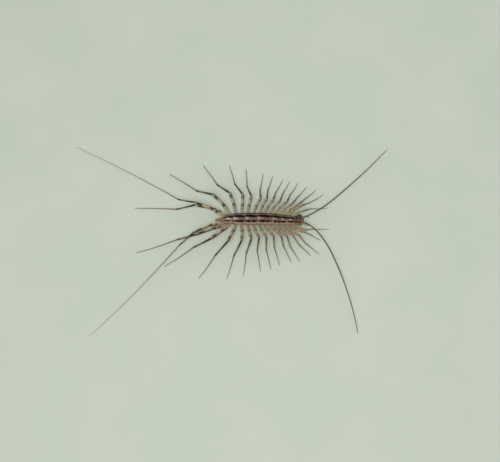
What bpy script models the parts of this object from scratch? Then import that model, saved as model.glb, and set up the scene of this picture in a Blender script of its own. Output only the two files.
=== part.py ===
"""House centipede at life size, standing still with every foot on the floor.

The animal faces +X, its left side is towards +Y and the floor is z = 0.  Sizes and
places below are in millimetres, and each mesh is turned to metres as it is made.
"""

import math

import bmesh
import bpy
import numpy as np
from mathutils import Matrix, Vector

NAME = "house_centipede"
MM = 0.001
GAP = 0.3
SPREAD_CENTRE = Vector((-6.55, -5.85, 0.0))

# Trunk, at stations from tail to head: place, half width, top and underside.
STATIONS = (
    (-9.6, 1.05, 3.45, 2.30),
    (-8.0, 1.50, 3.75, 2.10),
    (-5.5, 1.90, 4.10, 1.95),
    (-1.0, 2.10, 4.25, 1.90),
    (5.0, 2.10, 4.25, 1.90),
    (10.8, 1.90, 4.10, 2.00),
    (15.2, 1.55, 3.85, 2.10),
)
FRONT_BEND = 0.45
REAR_BEND = 0.30
TAIL_FORM = ((0.0, 0.42), (0.55, 0.54), (1.5, 0.48), (1.95, 0.32), (2.15, 0.12))
CORE_WIDTH = 0.86
CORE_SINK = 0.14
SECTION_SIDES = 16

# Back plates: the front edge of the first one, then the rear edge of each.
PLATE_EDGES = (15.05, 13.4, 10.8, 7.7, 2.6, -1.5, -5.5, -7.8, -9.45)
PLATE_THICKNESS = 0.32
PLATE_RISE = 0.16
PLATE_NOTCH = 0.28
PLATE_REACH = math.radians(78)
TRUNK_LENGTHS = (("trunk_front", 0, 3), ("trunk_middle", 3, 5), ("trunk_rear", 5, 8))

# Head, its eyes, mouthparts and feeler sockets.
HEAD_REAR = 15.35
HEAD_CENTRE = Vector((16.55, -0.42, 3.20))
HEAD_RADII = Vector((1.70, 1.72, 0.86))
EYE_OFFSET = Vector((0.25, 1.50, 0.18))
EYE_RADII = Vector((0.72, 0.50, 0.50))
LIP_OFFSET = Vector((1.15, 0.0, -0.42))
LIP_RADII = Vector((0.62, 0.80, 0.46))
JAW_OFFSET = Vector((0.35, 0.0, -0.70))
JAW_RADII = Vector((0.95, 0.85, 0.38))

# Feelers: reach of each, its heading in degrees at given lengths, and its height.
FEELER_RADIUS = 0.30
FEELER_TIP_RADIUS = 0.12
FEELER_OFFSET = Vector((1.50, 0.92, 0.36))
FEELER_HEIGHTS = ((0.0, 3.65), (5.0, 4.9), (14.0, 4.4), (30.0, 2.2), (45.0, 0.8))
FEELERS = {
    "left": (39.5, ((0.0, 16.0), (3.0, 26.0), (8.0, 36.0), (14.0, 42.0), (37.0, 47.0))),
    "right": (42.5, ((0.0, -12.0), (1.5, -38.0), (7.0, -52.0), (14.0, -64.0), (42.5, -81.0))),
}

# Legs: values at a few pairs, read between them for the rest.
PAIRS = 15
ROOT_PLACES = ((1, 14.6), (3, 11.9), (5, 8.62), (8, 3.35), (13, -7.0), (15, -9.4))
ROOT_HEIGHTS = ((1, 2.78), (13, 2.72), (14, 2.42), (15, 3.07))
ROOT_SLOPES = ((1, 15.0), (13, 15.0), (14, 5.0), (15, 35.0))
ROOT_TURNS = ((1, 0.50), (14, 0.50), (15, 0.80))
ROOT_RADII = ((1, 0.35), (5, 0.42), (11, 0.46), (13, 0.46), (14, 0.42), (15, 0.40))
HIP_HEIGHTS = ((1, 3.8), (8, 4.5), (13, 4.7), (14, 3.6), (15, 5.4))
KNEE_HEIGHTS = ((1, 4.2), (8, 5.3), (13, 5.6), (14, 4.8), (15, 6.9))
ANKLE_HEIGHTS = ((1, 2.0), (8, 2.4), (13, 2.6), (14, 2.2), (15, 3.0))
ROOT_CLEAR = 0.18
STUB_LENGTH = 0.95
HIP_SHARE = 0.42
HIP_TURNS = {
    1: ((1, 6.0), (9, 4.5), (11, -4.0), (15, -8.0)),
    -1: ((1, 3.5), (2, 6.0), (9, 4.5), (11, -4.0), (13, -3.0), (15, 6.0)),
}
FOOT_RADIUS = 0.25
FOOT_BOW = 0.012
TIP_RADIUS = 0.13
TIP_HEIGHT = 0.12

# Pose, front pair to last: lengths of thigh, shin and foot, then their headings on the
# left and on the right, in degrees from straight ahead towards that side.  The second
# right leg has grown back shorter than its partner.
POSE = (
    ((4.5, 3.1, 6.4), (17, 32, 8), (22, -20, -5)),
    ((5.4, 3.7, 6.5), (33, 30, 36), (26, 3, 22)),
    ((5.8, 4.2, 5.8), (34, 47, 45), (38, 43, 34)),
    ((5.5, 4.2, 5.8), (37, 58, 53), (40, 52, 39)),
    ((5.6, 4.3, 6.0), (42, 69, 60), (45, 70, 54)),
    ((5.5, 4.2, 6.0), (48, 74, 64), (46, 76, 61)),
    ((5.3, 4.4, 6.2), (54, 76, 64), (55, 85, 72)),
    ((5.3, 4.9, 6.5), (60, 85, 73), (64, 90, 75)),
    ((5.4, 5.0, 6.9), (61, 93, 80), (69, 99, 80)),
    ((5.7, 5.5, 7.4), (76, 109, 93), (76, 112, 98)),
    ((6.2, 6.2, 8.1), (86, 121, 104), (89, 120, 108)),
    ((7.0, 6.7, 9.6), (107, 139, 122), (112, 136, 127)),
    ((8.5, 7.0, 12.0), (133, 159, 144), (138, 159, 149)),
    ((10.8, 7.2, 14.5), (165, 187, 176), (158, 170, 164)),
    ((10.6, 7.2, 41.8), (159, 159, 151), (156, 146, 134)),
)
REGROWN = {(2, -1): (5.4, 2.9, 4.9)}

SIDES = {"left": 1, "right": -1}


def at(pair, keys):
    """A leg size for one pair, read between the few pairs that state it."""
    return float(np.interp(pair, [key[0] for key in keys], [key[1] for key in keys]))


def eased(value, start, end):
    """Runs smoothly from 0 at start to 1 at end."""
    share = min(max((value - start) / (end - start), 0.0), 1.0)
    return share * share * (3 - 2 * share)


def trunk_size(place):
    """Half width, top and underside of the trunk at a place along it."""
    places = [station[0] for station in STATIONS]
    return [float(np.interp(place, places, [s[i] for s in STATIONS])) for i in (1, 2, 3)]


def midline(place):
    """Sideways place of the body's middle, which bends a little at both ends."""
    return -FRONT_BEND * eased(place, 4.0, 15.0) - REAR_BEND * eased(-place, 7.0, 12.0)


def collection(name):
    """A new collection in the scene."""
    made = bpy.data.collections.new(name)
    bpy.context.scene.collection.children.link(made)
    return made


def new_object(name, mesh, group):
    """Wraps a mesh in an object of that group."""
    obj = bpy.data.objects.new(name, mesh)
    group.objects.link(obj)
    return obj


def mesh_from(name, form):
    """Turns a bmesh in millimetres into a mesh in metres with its faces pointing out."""
    bmesh.ops.recalc_face_normals(form, faces=form.faces)
    bmesh.ops.scale(form, vec=(MM, MM, MM), verts=form.verts)
    mesh = bpy.data.meshes.new(name)
    form.to_mesh(mesh)
    form.free()
    return mesh


def ellipsoid(name, centre, radii, group, around=14, rings=10):
    """A sphere primitive stretched to three radii."""
    form = bmesh.new()
    bmesh.ops.create_uvsphere(form, u_segments=around, v_segments=rings, radius=1.0)
    bmesh.ops.scale(form, vec=radii, verts=form.verts)
    bmesh.ops.translate(form, vec=centre, verts=form.verts)
    return new_object(name, mesh_from(name, form), group)


def stub(name, base, face, radius, group):
    """A short round stub from inside a piece out to a flat face."""
    axis = face - base
    form = bmesh.new()
    bmesh.ops.create_cone(
        form,
        cap_ends=True,
        segments=8,
        radius1=radius * 1.1,
        radius2=radius,
        depth=axis.length,
    )
    turn = axis.to_track_quat("Z", "Y").to_matrix().to_4x4()
    bmesh.ops.transform(form, matrix=Matrix.Translation((base + face) / 2) @ turn, verts=form.verts)
    return new_object(name, mesh_from(name, form), group)


def tube(name, points, radii, group):
    """A round tube through the points, kept above the floor where it rests on it."""
    curve = bpy.data.curves.new(name, "CURVE")
    curve.dimensions = "3D"
    curve.bevel_depth = MM
    curve.bevel_resolution = 2
    curve.use_fill_caps = True
    spline = curve.splines.new("POLY")
    spline.points.add(len(points) - 1)
    for knot, point, radius in zip(spline.points, points, radii):
        knot.co = (*(point * MM), 1.0)
        knot.radius = radius
    guide = bpy.data.objects.new(name + "_route", curve)
    group.objects.link(guide)
    evaluated = guide.evaluated_get(bpy.context.evaluated_depsgraph_get())
    mesh = bpy.data.meshes.new_from_object(evaluated)
    mesh.name = name
    form = bmesh.new()
    form.from_mesh(mesh)
    bmesh.ops.remove_doubles(form, verts=form.verts, dist=0.001 * MM)
    for vert in form.verts:
        vert.co.z = max(vert.co.z, 0.0)
    bmesh.ops.recalc_face_normals(form, faces=form.faces)
    form.to_mesh(mesh)
    form.free()
    obj = new_object(name, mesh, group)
    obj.matrix_world = guide.matrix_world
    bpy.data.objects.remove(guide)
    return obj


def loft(name, sections, group):
    """A closed skin over rings of the same number of points, with flat ends."""
    form = bmesh.new()
    rings = [[form.verts.new(point) for point in section] for section in sections]
    for before, after in zip(rings, rings[1:]):
        for i in range(len(before)):
            j = (i + 1) % len(before)
            form.faces.new((before[i], before[j], after[j], after[i]))
    form.faces.new(rings[0])
    form.faces.new(list(reversed(rings[-1])))
    return new_object(name, mesh_from(name, form), group)


def fuse(name, core, pieces, group):
    """Joins the pieces to their core by one union and removes them."""
    union = core.modifiers.new("union", "BOOLEAN")
    union.operation = "UNION"
    union.operand_type = "COLLECTION"
    union.collection = pieces
    apply_modifiers(core, name)
    for piece in list(pieces.objects):
        bpy.data.objects.remove(piece)
    bpy.data.collections.remove(pieces)
    core.name = name
    return core


def apply_modifiers(obj, name):
    """Applies an object's modifiers and keeps only the largest closed skin of its mesh."""
    evaluated = obj.evaluated_get(bpy.context.evaluated_depsgraph_get())
    mesh = bpy.data.meshes.new_from_object(evaluated)
    mesh.name = name
    obj.modifiers.clear()
    obj.data = mesh
    form = bmesh.new()
    form.from_mesh(mesh)
    bmesh.ops.remove_doubles(form, verts=form.verts, dist=0.001 * MM)
    islands = []
    left = set(form.faces)
    while left:
        front = [left.pop()]
        island = list(front)
        while front:
            face = front.pop()
            for edge in face.edges:
                for other in edge.link_faces:
                    if other in left:
                        left.remove(other)
                        front.append(other)
                        island.append(other)
        islands.append(island)
    largest = max(islands, key=lambda island: sum(face.calc_area() for face in island))
    scraps = [face for island in islands if island is not largest for face in island]
    bmesh.ops.delete(form, geom=scraps, context="FACES")
    form.to_mesh(mesh)
    form.free()


def trunk_section(place):
    """One ring of the trunk under its plates: broad back, narrower flat belly."""
    half, top, under = trunk_size(place)
    middle = midline(place)
    centre = (top + under) / 2
    ring = []
    for i in range(SECTION_SIDES):
        turn = 2 * math.pi * i / SECTION_SIDES
        side = math.copysign(abs(math.sin(turn)) ** 0.85, math.sin(turn))
        rise = math.copysign(abs(math.cos(turn)) ** 0.8, math.cos(turn))
        reach = top - CORE_SINK - centre if rise > 0 else centre - under
        ring.append(Vector((place, middle + half * CORE_WIDTH * side, centre + reach * rise)))
    return ring


def trunk_core(name, rear, front, group):
    """The body under the plates between two flat cuts."""
    places = np.linspace(rear, front, max(3, round((front - rear) / 1.1)))
    return loft(name, [trunk_section(float(place)) for place in places], group)


def plate(name, front, rear, group):
    """One arched back plate, lifted towards its notched rear edge."""
    across = 12
    along = 4
    form = bmesh.new()
    grid = []
    for i in range(along + 1):
        share = i / along
        row = []
        for j in range(across + 1):
            turn = PLATE_REACH * (2 * j / across - 1)
            notch = PLATE_NOTCH * share * math.exp(-((turn / 0.22) ** 2))
            corner = 0.18 * (front - rear) * share * abs(turn / PLATE_REACH) ** 4
            place = front + (rear - front) * share + notch + corner
            half, top, _ = trunk_size(place)
            edge = top - 1.15
            lift = PLATE_RISE * share
            row.append(form.verts.new((
                place,
                midline(place) + (half + 0.3 * lift) * math.sin(turn),
                edge + (top - edge) * math.cos(turn) ** 0.8 + lift - 0.08,
            )))
        grid.append(row)
    for before, after in zip(grid, grid[1:]):
        for j in range(across):
            form.faces.new((before[j], before[j + 1], after[j + 1], after[j]))
    obj = new_object(name, mesh_from(name, form), group)
    if sum(face.normal.z for face in obj.data.polygons) < 0:
        obj.data.flip_normals()
    shell = obj.modifiers.new("thickness", "SOLIDIFY")
    shell.thickness = PLATE_THICKNESS * MM
    shell.offset = -1
    return obj


def leg_heading(pair, side, part):
    """Heading of thigh (0), shin (1) or foot (2) as a flat direction."""
    angle = math.radians(POSE[pair - 1][1 if side > 0 else 2][part])
    return Vector((math.cos(angle), side * math.sin(angle), 0.0))


def root_frame(pair, side):
    """Centre of the flat face that a leg grows from, and the way it points."""
    place = at(pair, ROOT_PLACES)
    half = trunk_size(place)[0]
    middle = midline(place)
    face = Vector((place, middle + side * (half + ROOT_CLEAR), at(pair, ROOT_HEIGHTS)))
    out = Vector((0.0, side, 0.0)).lerp(leg_heading(pair, side, 0), at(pair, ROOT_TURNS))
    slope = math.radians(at(pair, ROOT_SLOPES))
    return face, out.normalized() * math.cos(slope) + Vector((0, 0, math.sin(slope)))


def step(start, length, heading, height):
    """The point a given length away, along a flat heading and up or down to a height."""
    drop = height - start.z
    reach = math.sqrt(max(length * length - drop * drop, 0.01))
    return Vector((start.x + heading.x * reach, start.y + heading.y * reach, height))


def leg_joints(pair, side):
    """Root, hip, knee, ankle and tip of one leg."""
    face, out = root_frame(pair, side)
    thigh, shin, foot = REGROWN.get((pair, side), POSE[pair - 1][0])
    root = face + out * GAP
    knee = step(root, thigh, leg_heading(pair, side, 0), at(pair, KNEE_HEIGHTS))
    turn = side * math.radians(at(pair, HIP_TURNS[side]))
    hip = root + Matrix.Rotation(turn, 3, "Z") @ (knee - root) * HIP_SHARE
    hip.z = at(pair, HIP_HEIGHTS)
    ankle = step(knee, shin, leg_heading(pair, side, 1), at(pair, ANKLE_HEIGHTS))
    tip = step(ankle, foot, leg_heading(pair, side, 2), TIP_HEIGHT)
    return root, out, hip, knee, ankle, tip


def leg_route(pair, side):
    """Points and radii of one leg, thicker at the far end of each part."""
    root, out, hip, knee, ankle, tip = leg_joints(pair, side)
    thick = at(pair, ROOT_RADII)
    route = [
        (root, thick),
        (root + out * 0.35, thick),
        (root.lerp(hip, 0.88), thick * 1.10),
        (hip.lerp(knee, 0.06), thick * 0.88),
        (hip.lerp(knee, 0.88), thick * 0.96),
        (knee, thick * 0.74),
        (knee.lerp(ankle, 0.12), max(thick * 0.68, FOOT_RADIUS)),
        (knee.lerp(ankle, 0.90), max(thick * 0.62, FOOT_RADIUS)),
        (ankle.lerp(tip, 0.03), max(thick * 0.56, FOOT_RADIUS)),
    ]
    rings = 4 if (tip - ankle).length < 20 else 9
    for i in range(1, rings + 1):
        route.append((foot_point(ankle, tip, side, i / (rings + 0.35)), FOOT_RADIUS))
    route.append((tip, TIP_RADIUS))
    return [point for point, _ in route], [radius for _, radius in route]


def foot_point(ankle, tip, side, share):
    """A point along a foot, which sinks in a curve to the floor and bows forward a little."""
    run = tip - ankle
    point = ankle + run * share
    bow = FOOT_BOW * 4 * share * (1 - share)
    point += Vector((run.y, -run.x, 0.0)) * side * bow
    height = TIP_HEIGHT + (ankle.z - TIP_HEIGHT) * (1 - share) ** 1.5
    point.z = max(height, FOOT_RADIUS * 0.92)
    return point


def feeler_route(side_name):
    """Points and radii of one feeler along its curving heading."""
    side = SIDES[side_name]
    reach, headings = FEELERS[side_name]
    count = 22
    step_length = reach / count
    start, out = feeler_socket(side)
    point = start + out * GAP
    points = [point]
    for i in range(count):
        length = (i + 0.5) * step_length
        angle = math.radians(float(np.interp(length, *zip(*headings))))
        height = float(np.interp((i + 1) * step_length, *zip(*FEELER_HEIGHTS)))
        point = step(point, step_length, Vector((math.cos(angle), math.sin(angle), 0)), height)
        points.append(point)
    radii = [max(FEELER_RADIUS - 0.006 * i, 0.25) for i in range(count)] + [FEELER_TIP_RADIUS]
    return points, radii


def feeler_socket(side):
    """Centre of the flat face a feeler grows from, and the way it points."""
    offset = FEELER_OFFSET
    face = HEAD_CENTRE + Vector((offset.x, side * offset.y, offset.z))
    return face, Vector((0.93, side * 0.12, 0.34)).normalized()


def claw_route(side):
    """Points and radii of one venom claw, curving in below the head."""
    face, out = claw_socket(side)
    middle = HEAD_CENTRE.y
    points = [
        face + out * GAP,
        Vector((16.0, middle + side * 1.02, 1.62)),
        Vector((16.6, middle + side * 1.10, 1.48)),
        Vector((17.15, middle + side * 0.92, 1.42)),
        Vector((17.5, middle + side * 0.60, 1.44)),
        Vector((17.65, middle + side * 0.28, 1.48)),
    ]
    return points, [0.34, 0.34, 0.30, 0.25, 0.18, 0.07]


def claw_socket(side):
    """Centre of the flat face a venom claw grows from, and the way it points."""
    return (
        Vector((15.12, HEAD_CENTRE.y + side * 0.72, 1.92)),
        Vector((0.90, side * 0.24, -0.36)).normalized(),
    )


def palp_route(side):
    """Points and radii of one mouth palp, reaching forward and down."""
    face, out = palp_socket(side)
    start = face + out * GAP
    points = [
        start,
        start + Vector((0.55, side * 0.32, 0.02)),
        start + Vector((1.15, side * 0.46, -0.18)),
        start + Vector((1.65, side * 0.30, -0.62)),
        start + Vector((1.85, side * 0.12, -1.00)),
    ]
    return points, [0.26, 0.27, 0.25, 0.25, 0.13]


def palp_socket(side):
    """Centre of the flat face a mouth palp grows from, and the way it points."""
    return (
        HEAD_CENTRE + Vector((1.51, side * 0.98, -0.50)),
        Vector((0.80, side * 0.55, -0.22)).normalized(),
    )


def finish(obj, colour, roughness):
    """Gives an object its own material and smooth rounded sides."""
    material = bpy.data.materials.new(obj.name)
    material.use_nodes = True
    shader = material.node_tree.nodes["Principled BSDF"]
    shader.inputs["Base Color"].default_value = (*colour, 1.0)
    shader.inputs["Roughness"].default_value = roughness
    shader.inputs["Metallic"].default_value = 0.0
    obj.data.materials.clear()
    obj.data.materials.append(material)
    obj.data.shade_smooth()
    obj.data.set_sharp_from_angle(angle=math.radians(50))


def make_trunk(group):
    """The trunk in three lengths, with its plates and leg stubs."""
    for name, first, last in TRUNK_LENGTHS:
        front = PLATE_EDGES[first] - (GAP / 2 if first else 0.0)
        rear = PLATE_EDGES[last] + GAP / 2
        core = trunk_core(name, rear, front, group)
        pieces = collection(name + "_pieces")
        for i in range(first, last):
            ahead = min(PLATE_EDGES[i] + 0.35, front - 0.02)
            plate("plate", ahead, max(PLATE_EDGES[i + 1], rear + 0.02), pieces)
        for pair in range(1, PAIRS + 1):
            if not rear < at(pair, ROOT_PLACES) < front:
                continue
            for side in SIDES.values():
                face, out = root_frame(pair, side)
                stub("stub", face - out * STUB_LENGTH, face, at(pair, ROOT_RADII), pieces)
        if first == 0:
            for side in SIDES.values():
                face, out = claw_socket(side)
                stub("stub", face - out * 0.9, face, 0.36, pieces)
        finish(fuse(name, core, pieces, group), (0.16, 0.10, 0.07), 0.45)


def make_tail(group):
    """The last small plate behind the trunk."""
    place = PLATE_EDGES[-1] - GAP / 2
    points = [Vector((place - run, midline(place - run), 2.85)) for run, _ in TAIL_FORM]
    radii = [radius for _, radius in TAIL_FORM]
    finish(tube("tail", points, radii, group), (0.28, 0.16, 0.08), 0.45)


def make_head(group, cutters):
    """The head with its lip and mouth, sockets for the eyes and stubs for the feelers."""
    head = ellipsoid("head", HEAD_CENTRE, HEAD_RADII, group, around=24, rings=14)
    for vert in head.data.vertices:
        vert.co.x = max(vert.co.x, HEAD_REAR * MM)
    pieces = collection("head_pieces")
    ellipsoid("lip", HEAD_CENTRE + LIP_OFFSET, LIP_RADII, pieces)
    ellipsoid("jaw", HEAD_CENTRE + JAW_OFFSET, JAW_RADII, pieces)
    for side in SIDES.values():
        face, out = feeler_socket(side)
        stub("stub", face - out * 0.9, face, FEELER_RADIUS * 1.2, pieces)
        face, out = palp_socket(side)
        stub("stub", face - out * 0.8, face, 0.28, pieces)
    for side in SIDES.values():
        cut = ellipsoid(
            "eye_socket",
            HEAD_CENTRE + Vector((EYE_OFFSET.x, side * EYE_OFFSET.y, EYE_OFFSET.z)),
            EYE_RADII + Vector((GAP, GAP, GAP)),
            cutters,
        )
        cut.hide_render = True
        cut.display_type = "WIRE"
    fuse("head", head, pieces, group)
    socket = head.modifiers.new("eye_sockets", "BOOLEAN")
    socket.operation = "DIFFERENCE"
    socket.operand_type = "COLLECTION"
    socket.collection = cutters
    apply_modifiers(head, "head")
    finish(head, (0.20, 0.11, 0.07), 0.4)


def make_eyes(group):
    """The two large domed eyes."""
    for side_name, side in SIDES.items():
        centre = HEAD_CENTRE + Vector((EYE_OFFSET.x, side * EYE_OFFSET.y, EYE_OFFSET.z))
        finish(ellipsoid("eye_" + side_name, centre, EYE_RADII, group), (0.012, 0.008, 0.006), 0.2)


def make_mouthparts(group):
    """Venom claws and palps."""
    for side_name, side in SIDES.items():
        finish(tube("claw_" + side_name, *claw_route(side), group), (0.30, 0.15, 0.07), 0.35)
        finish(tube("palp_" + side_name, *palp_route(side), group), (0.32, 0.24, 0.14), 0.5)


def make_feelers(group):
    """The two long feelers."""
    for side_name in SIDES:
        feeler = tube("antenna_" + side_name, *feeler_route(side_name), group)
        finish(feeler, (0.075, 0.06, 0.03), 0.55)


def make_legs(group):
    """Fifteen pairs of legs."""
    for side_name, side in SIDES.items():
        for pair in range(1, PAIRS + 1):
            leg = tube(f"leg_{side_name}_{pair:02d}", *leg_route(pair, side), group)
            finish(leg, (0.24, 0.20, 0.12), 0.5)


def clear_scene():
    """Removes everything the scene started with."""
    for obj in list(bpy.data.objects):
        bpy.data.objects.remove(obj)


def main():
    """Builds the whole animal and centres its spread on the origin."""
    clear_scene()
    group = collection(NAME)
    cutters = collection("cutters")
    make_trunk(group)
    make_tail(group)
    make_head(group, cutters)
    make_eyes(group)
    make_mouthparts(group)
    make_feelers(group)
    make_legs(group)
    centre = bpy.data.objects.new(NAME + "_centre", None)
    group.objects.link(centre)
    centre.location = -SPREAD_CENTRE * MM
    for obj in group.objects:
        if obj is not centre:
            obj.parent = centre


main()
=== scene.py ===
import math

import bmesh
import bpy
import numpy as np
from mathutils import Matrix, Vector


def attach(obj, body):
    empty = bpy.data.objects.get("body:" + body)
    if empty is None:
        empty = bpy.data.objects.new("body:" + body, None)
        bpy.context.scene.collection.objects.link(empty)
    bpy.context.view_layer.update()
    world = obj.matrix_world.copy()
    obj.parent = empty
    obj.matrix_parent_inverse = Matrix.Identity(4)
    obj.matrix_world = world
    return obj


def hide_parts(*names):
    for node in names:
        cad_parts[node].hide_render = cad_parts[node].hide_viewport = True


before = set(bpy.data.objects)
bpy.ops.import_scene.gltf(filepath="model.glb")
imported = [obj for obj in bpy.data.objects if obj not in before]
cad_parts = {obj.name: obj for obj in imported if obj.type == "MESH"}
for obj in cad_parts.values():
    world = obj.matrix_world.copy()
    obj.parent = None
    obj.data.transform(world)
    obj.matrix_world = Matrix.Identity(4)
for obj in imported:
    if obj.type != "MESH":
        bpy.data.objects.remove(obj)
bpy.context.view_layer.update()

# Sizes are in millimetres in the animal's own frame: it faces +X, its left side is towards
# +Y and the floor is z = 0.  Each mesh is moved to the frame's centre and turned to metres.
MM = 0.001
CENTRE = np.array((-6.55, -5.85, 0.0))
GAP = 0.3
UP = Vector((0, 0, 1))
BEHIND = np.array((-1.0, 0.0, 0.0))

# Trunk stations from tail to head: place, half width, top and underside.
STATIONS = np.array((
    (-9.6, 1.05, 3.45, 2.30),
    (-8.0, 1.50, 3.75, 2.10),
    (-5.5, 1.90, 4.10, 1.95),
    (-1.0, 2.10, 4.25, 1.90),
    (5.0, 2.10, 4.25, 1.90),
    (10.8, 1.90, 4.10, 2.00),
    (15.2, 1.55, 3.85, 2.10),
))
FRONT_BEND = 0.45
REAR_BEND = 0.30
TAIL_START = -9.6
TAIL_HEIGHT = 2.85

# Back plates: front edge of the first, then the rear edge of each.
PLATE_EDGES = (15.05, 13.4, 10.8, 7.7, 2.6, -1.5, -5.5, -7.8, -9.45)
PLATE_TUCK = 0.35
PLATE_RISE = 0.19
PLATE_NOTCH = 0.20
PLATE_OVERLAP = 0.28
PLATE_REACH = math.radians(80)
PLATE_THICKNESS = 0.13
PORED_PLATES = 7
# Per plate: strength of the pale spot at the breathing pore, partly the real spot and partly a
# painted glint, brightest on plates 6 and 7; then the strength of a painted glint, a pale haze
# across the middle band near the plate's rear.
PORE_SPOT_GLINT = (0.9, 0.85, 0.85, 0.9, 0.95, 1.0, 1.2, 0.0)
PAINTED_GLINT_HAZE = (0.0, 0.0, 0.10, 0.15, 0.20, 0.45, 0.65, 0.35)
PLATE_VALUES = ("across", "lane", "along", "pore_spot_and_glint", "warm", "run")
STRIPE_PLACE = 0.92
STRIPE_SHIFT = -0.10

# Head, and its dark blots as (start, end, half width) on its crown.
HEAD_REAR = 15.2
HEAD_CENTRE = Vector((16.55, -0.42, 3.20))
HEAD_RADII = Vector((1.70, 1.72, 0.86))
HEAD_BLOTS = (
    ((-0.78, 0.41), (-0.60, 0.42), 0.27),
    ((-1.20, 0.42), (0.40, 0.44), 0.09),
    ((0.42, 0.46), (0.56, 0.46), 0.24),
    ((-1.20, -0.62), (-0.85, -0.68), 0.17),
    ((-0.85, -0.70), (0.10, -1.00), 0.16),
    ((0.10, -0.98), (0.50, -0.86), 0.18),
    ((0.46, -0.84), (0.56, -0.80), 0.26),
    ((-1.10, 1.30), (-0.45, 1.18), 0.12),
)
EYE_OFFSET = Vector((0.25, 1.50, 0.18))
EYE_RADII = (0.74, 0.52, 0.52)
FEELER_OFFSET = Vector((1.50, 0.92, 0.36))
FEELER_HEIGHTS = ((0.0, 3.65), (5.0, 4.9), (14.0, 4.4), (30.0, 2.2), (45.0, 0.8))
FEELERS = {
    "left": (39.5, ((0.0, 16.0), (3.0, 26.0), (8.0, 36.0), (14.0, 42.0), (37.0, 47.0))),
    "right": (42.5, ((0.0, -12.0), (1.5, -38.0), (7.0, -52.0), (14.0, -64.0), (42.5, -81.0))),
}

# Legs: values at a few pairs, read between them for the rest.
PAIRS = 15
ROOT_PLACES = ((1, 14.6), (3, 11.9), (5, 8.62), (8, 3.35), (13, -7.0), (15, -9.4))
ROOT_HEIGHTS = ((1, 2.78), (13, 2.72), (14, 2.42), (15, 3.07))
ROOT_SLOPES = ((1, 15.0), (13, 15.0), (14, 5.0), (15, 35.0))
ROOT_TURNS = ((1, 0.50), (14, 0.50), (15, 0.80))
ROOT_RADII = ((1, 0.35), (5, 0.42), (11, 0.47), (13, 0.51), (14, 0.46), (15, 0.44))
HIP_HEIGHTS = ((1, 3.8), (8, 4.5), (13, 4.7), (14, 3.6), (15, 5.4))
KNEE_HEIGHTS = ((1, 4.2), (8, 5.3), (13, 5.6), (14, 4.8), (15, 6.9))
ANKLE_HEIGHTS = ((1, 2.0), (8, 2.4), (13, 2.6), (14, 2.2), (15, 3.0))
ROOT_CLEAR = 0.18
HIP_SHARE = 0.42
HIP_TURNS = {
    1: ((1, 6.0), (9, 4.5), (11, -4.0), (15, -8.0)),
    -1: ((1, 3.5), (2, 6.0), (9, 4.5), (11, -4.0), (13, -3.0), (15, 6.0)),
}
FOOT_BOW = 0.012
TIP_LEVEL = 0.12
TIP_HEIGHT = 0.09
ANKLE_RADIUS = 0.20
TIP_RADIUS = 0.10
ARTICLE = 0.26

# Pose, front pair to last: lengths of thigh, shin and foot, then their headings on the
# left and on the right, in degrees from straight ahead towards that side.
POSE = (
    ((4.5, 3.1, 6.4), (17, 32, 8), (22, -20, -5)),
    ((5.4, 3.7, 6.5), (33, 30, 36), (26, 3, 22)),
    ((5.8, 4.2, 5.8), (34, 47, 45), (38, 43, 34)),
    ((5.5, 4.2, 5.8), (37, 58, 53), (40, 52, 39)),
    ((5.6, 4.3, 6.0), (42, 69, 60), (45, 70, 54)),
    ((5.5, 4.2, 6.0), (48, 74, 64), (46, 76, 61)),
    ((5.3, 4.4, 6.2), (54, 76, 64), (55, 85, 72)),
    ((5.3, 4.9, 6.5), (60, 85, 73), (64, 90, 75)),
    ((5.4, 5.0, 6.9), (61, 93, 80), (69, 99, 80)),
    ((5.7, 5.5, 7.4), (76, 109, 93), (76, 112, 98)),
    ((6.2, 6.2, 8.1), (86, 121, 104), (89, 120, 108)),
    ((7.0, 6.7, 9.6), (107, 139, 122), (112, 136, 127)),
    ((8.5, 7.0, 12.0), (133, 159, 144), (138, 159, 149)),
    ((10.8, 7.2, 14.5), (165, 187, 176), (158, 170, 164)),
    ((10.6, 7.2, 41.8), (159, 159, 151), (156, 146, 134)),
)
REGROWN = {(2, -1): (5.4, 2.9, 4.9)}
SIDES = {"left": 1, "right": -1}

# Leg parts as (share along the part, share of its thickness), and how far the skin of the
# joint bulges out of each part's end, where the next part grows from it.
COXA = (
    (0.0, 0.0), (0.0, 0.30), (0.12, 0.50), (0.35, 0.78), (0.60, 0.96), (0.80, 1.0), (0.94, 0.97),
    (1.0, 0.88),
)
HIP_RING = (
    (0.0, 0.0), (0.0, 0.74), (0.10, 0.93), (0.5, 1.0), (0.80, 1.0), (0.94, 0.97), (1.0, 0.88)
)
THIGH_ONE = (
    (0.0, 0.0), (0.0, 0.62), (0.012, 0.74), (0.04, 0.87), (0.10, 0.95), (0.28, 1.00), (0.60, 1.01),
    (0.84, 1.04), (0.93, 1.08), (0.965, 1.08), (0.988, 1.03), (1.0, 0.94),
)
THIGH_TWO = (
    (0.0, 0.0), (0.0, 0.64), (0.008, 0.75), (0.025, 0.84), (0.08, 0.90), (0.35, 0.92), (0.68, 0.92),
    (0.88, 0.95), (0.945, 0.98), (0.975, 0.96), (0.99, 0.90), (1.0, 0.82),
)
SHIN = (
    (0.0, 0.0), (0.0, 0.50), (0.010, 0.60), (0.03, 0.67), (0.08, 0.69), (0.30, 0.63), (0.60, 0.56),
    (0.90, 0.52), (0.965, 0.56), (0.988, 0.55), (1.0, 0.49),
)
BULGES = {"root": 0.25, "thigh_one": 0.40, "thigh_two": 0.66, "shin": 0.30}
KEELS = (50.0, 130.0, 190.0, 270.0, 350.0)
SIDES_ROUND = 36
LEG_VALUES = ("tone", "soft", "warm", "groove", "run", "flat", "tall")
PLAIN_VALUES = {"soft": 0.0, "warm": 0.0, "groove": 0.0, "run": 0.0, "flat": 0.0, "tall": 0.0}

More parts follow.
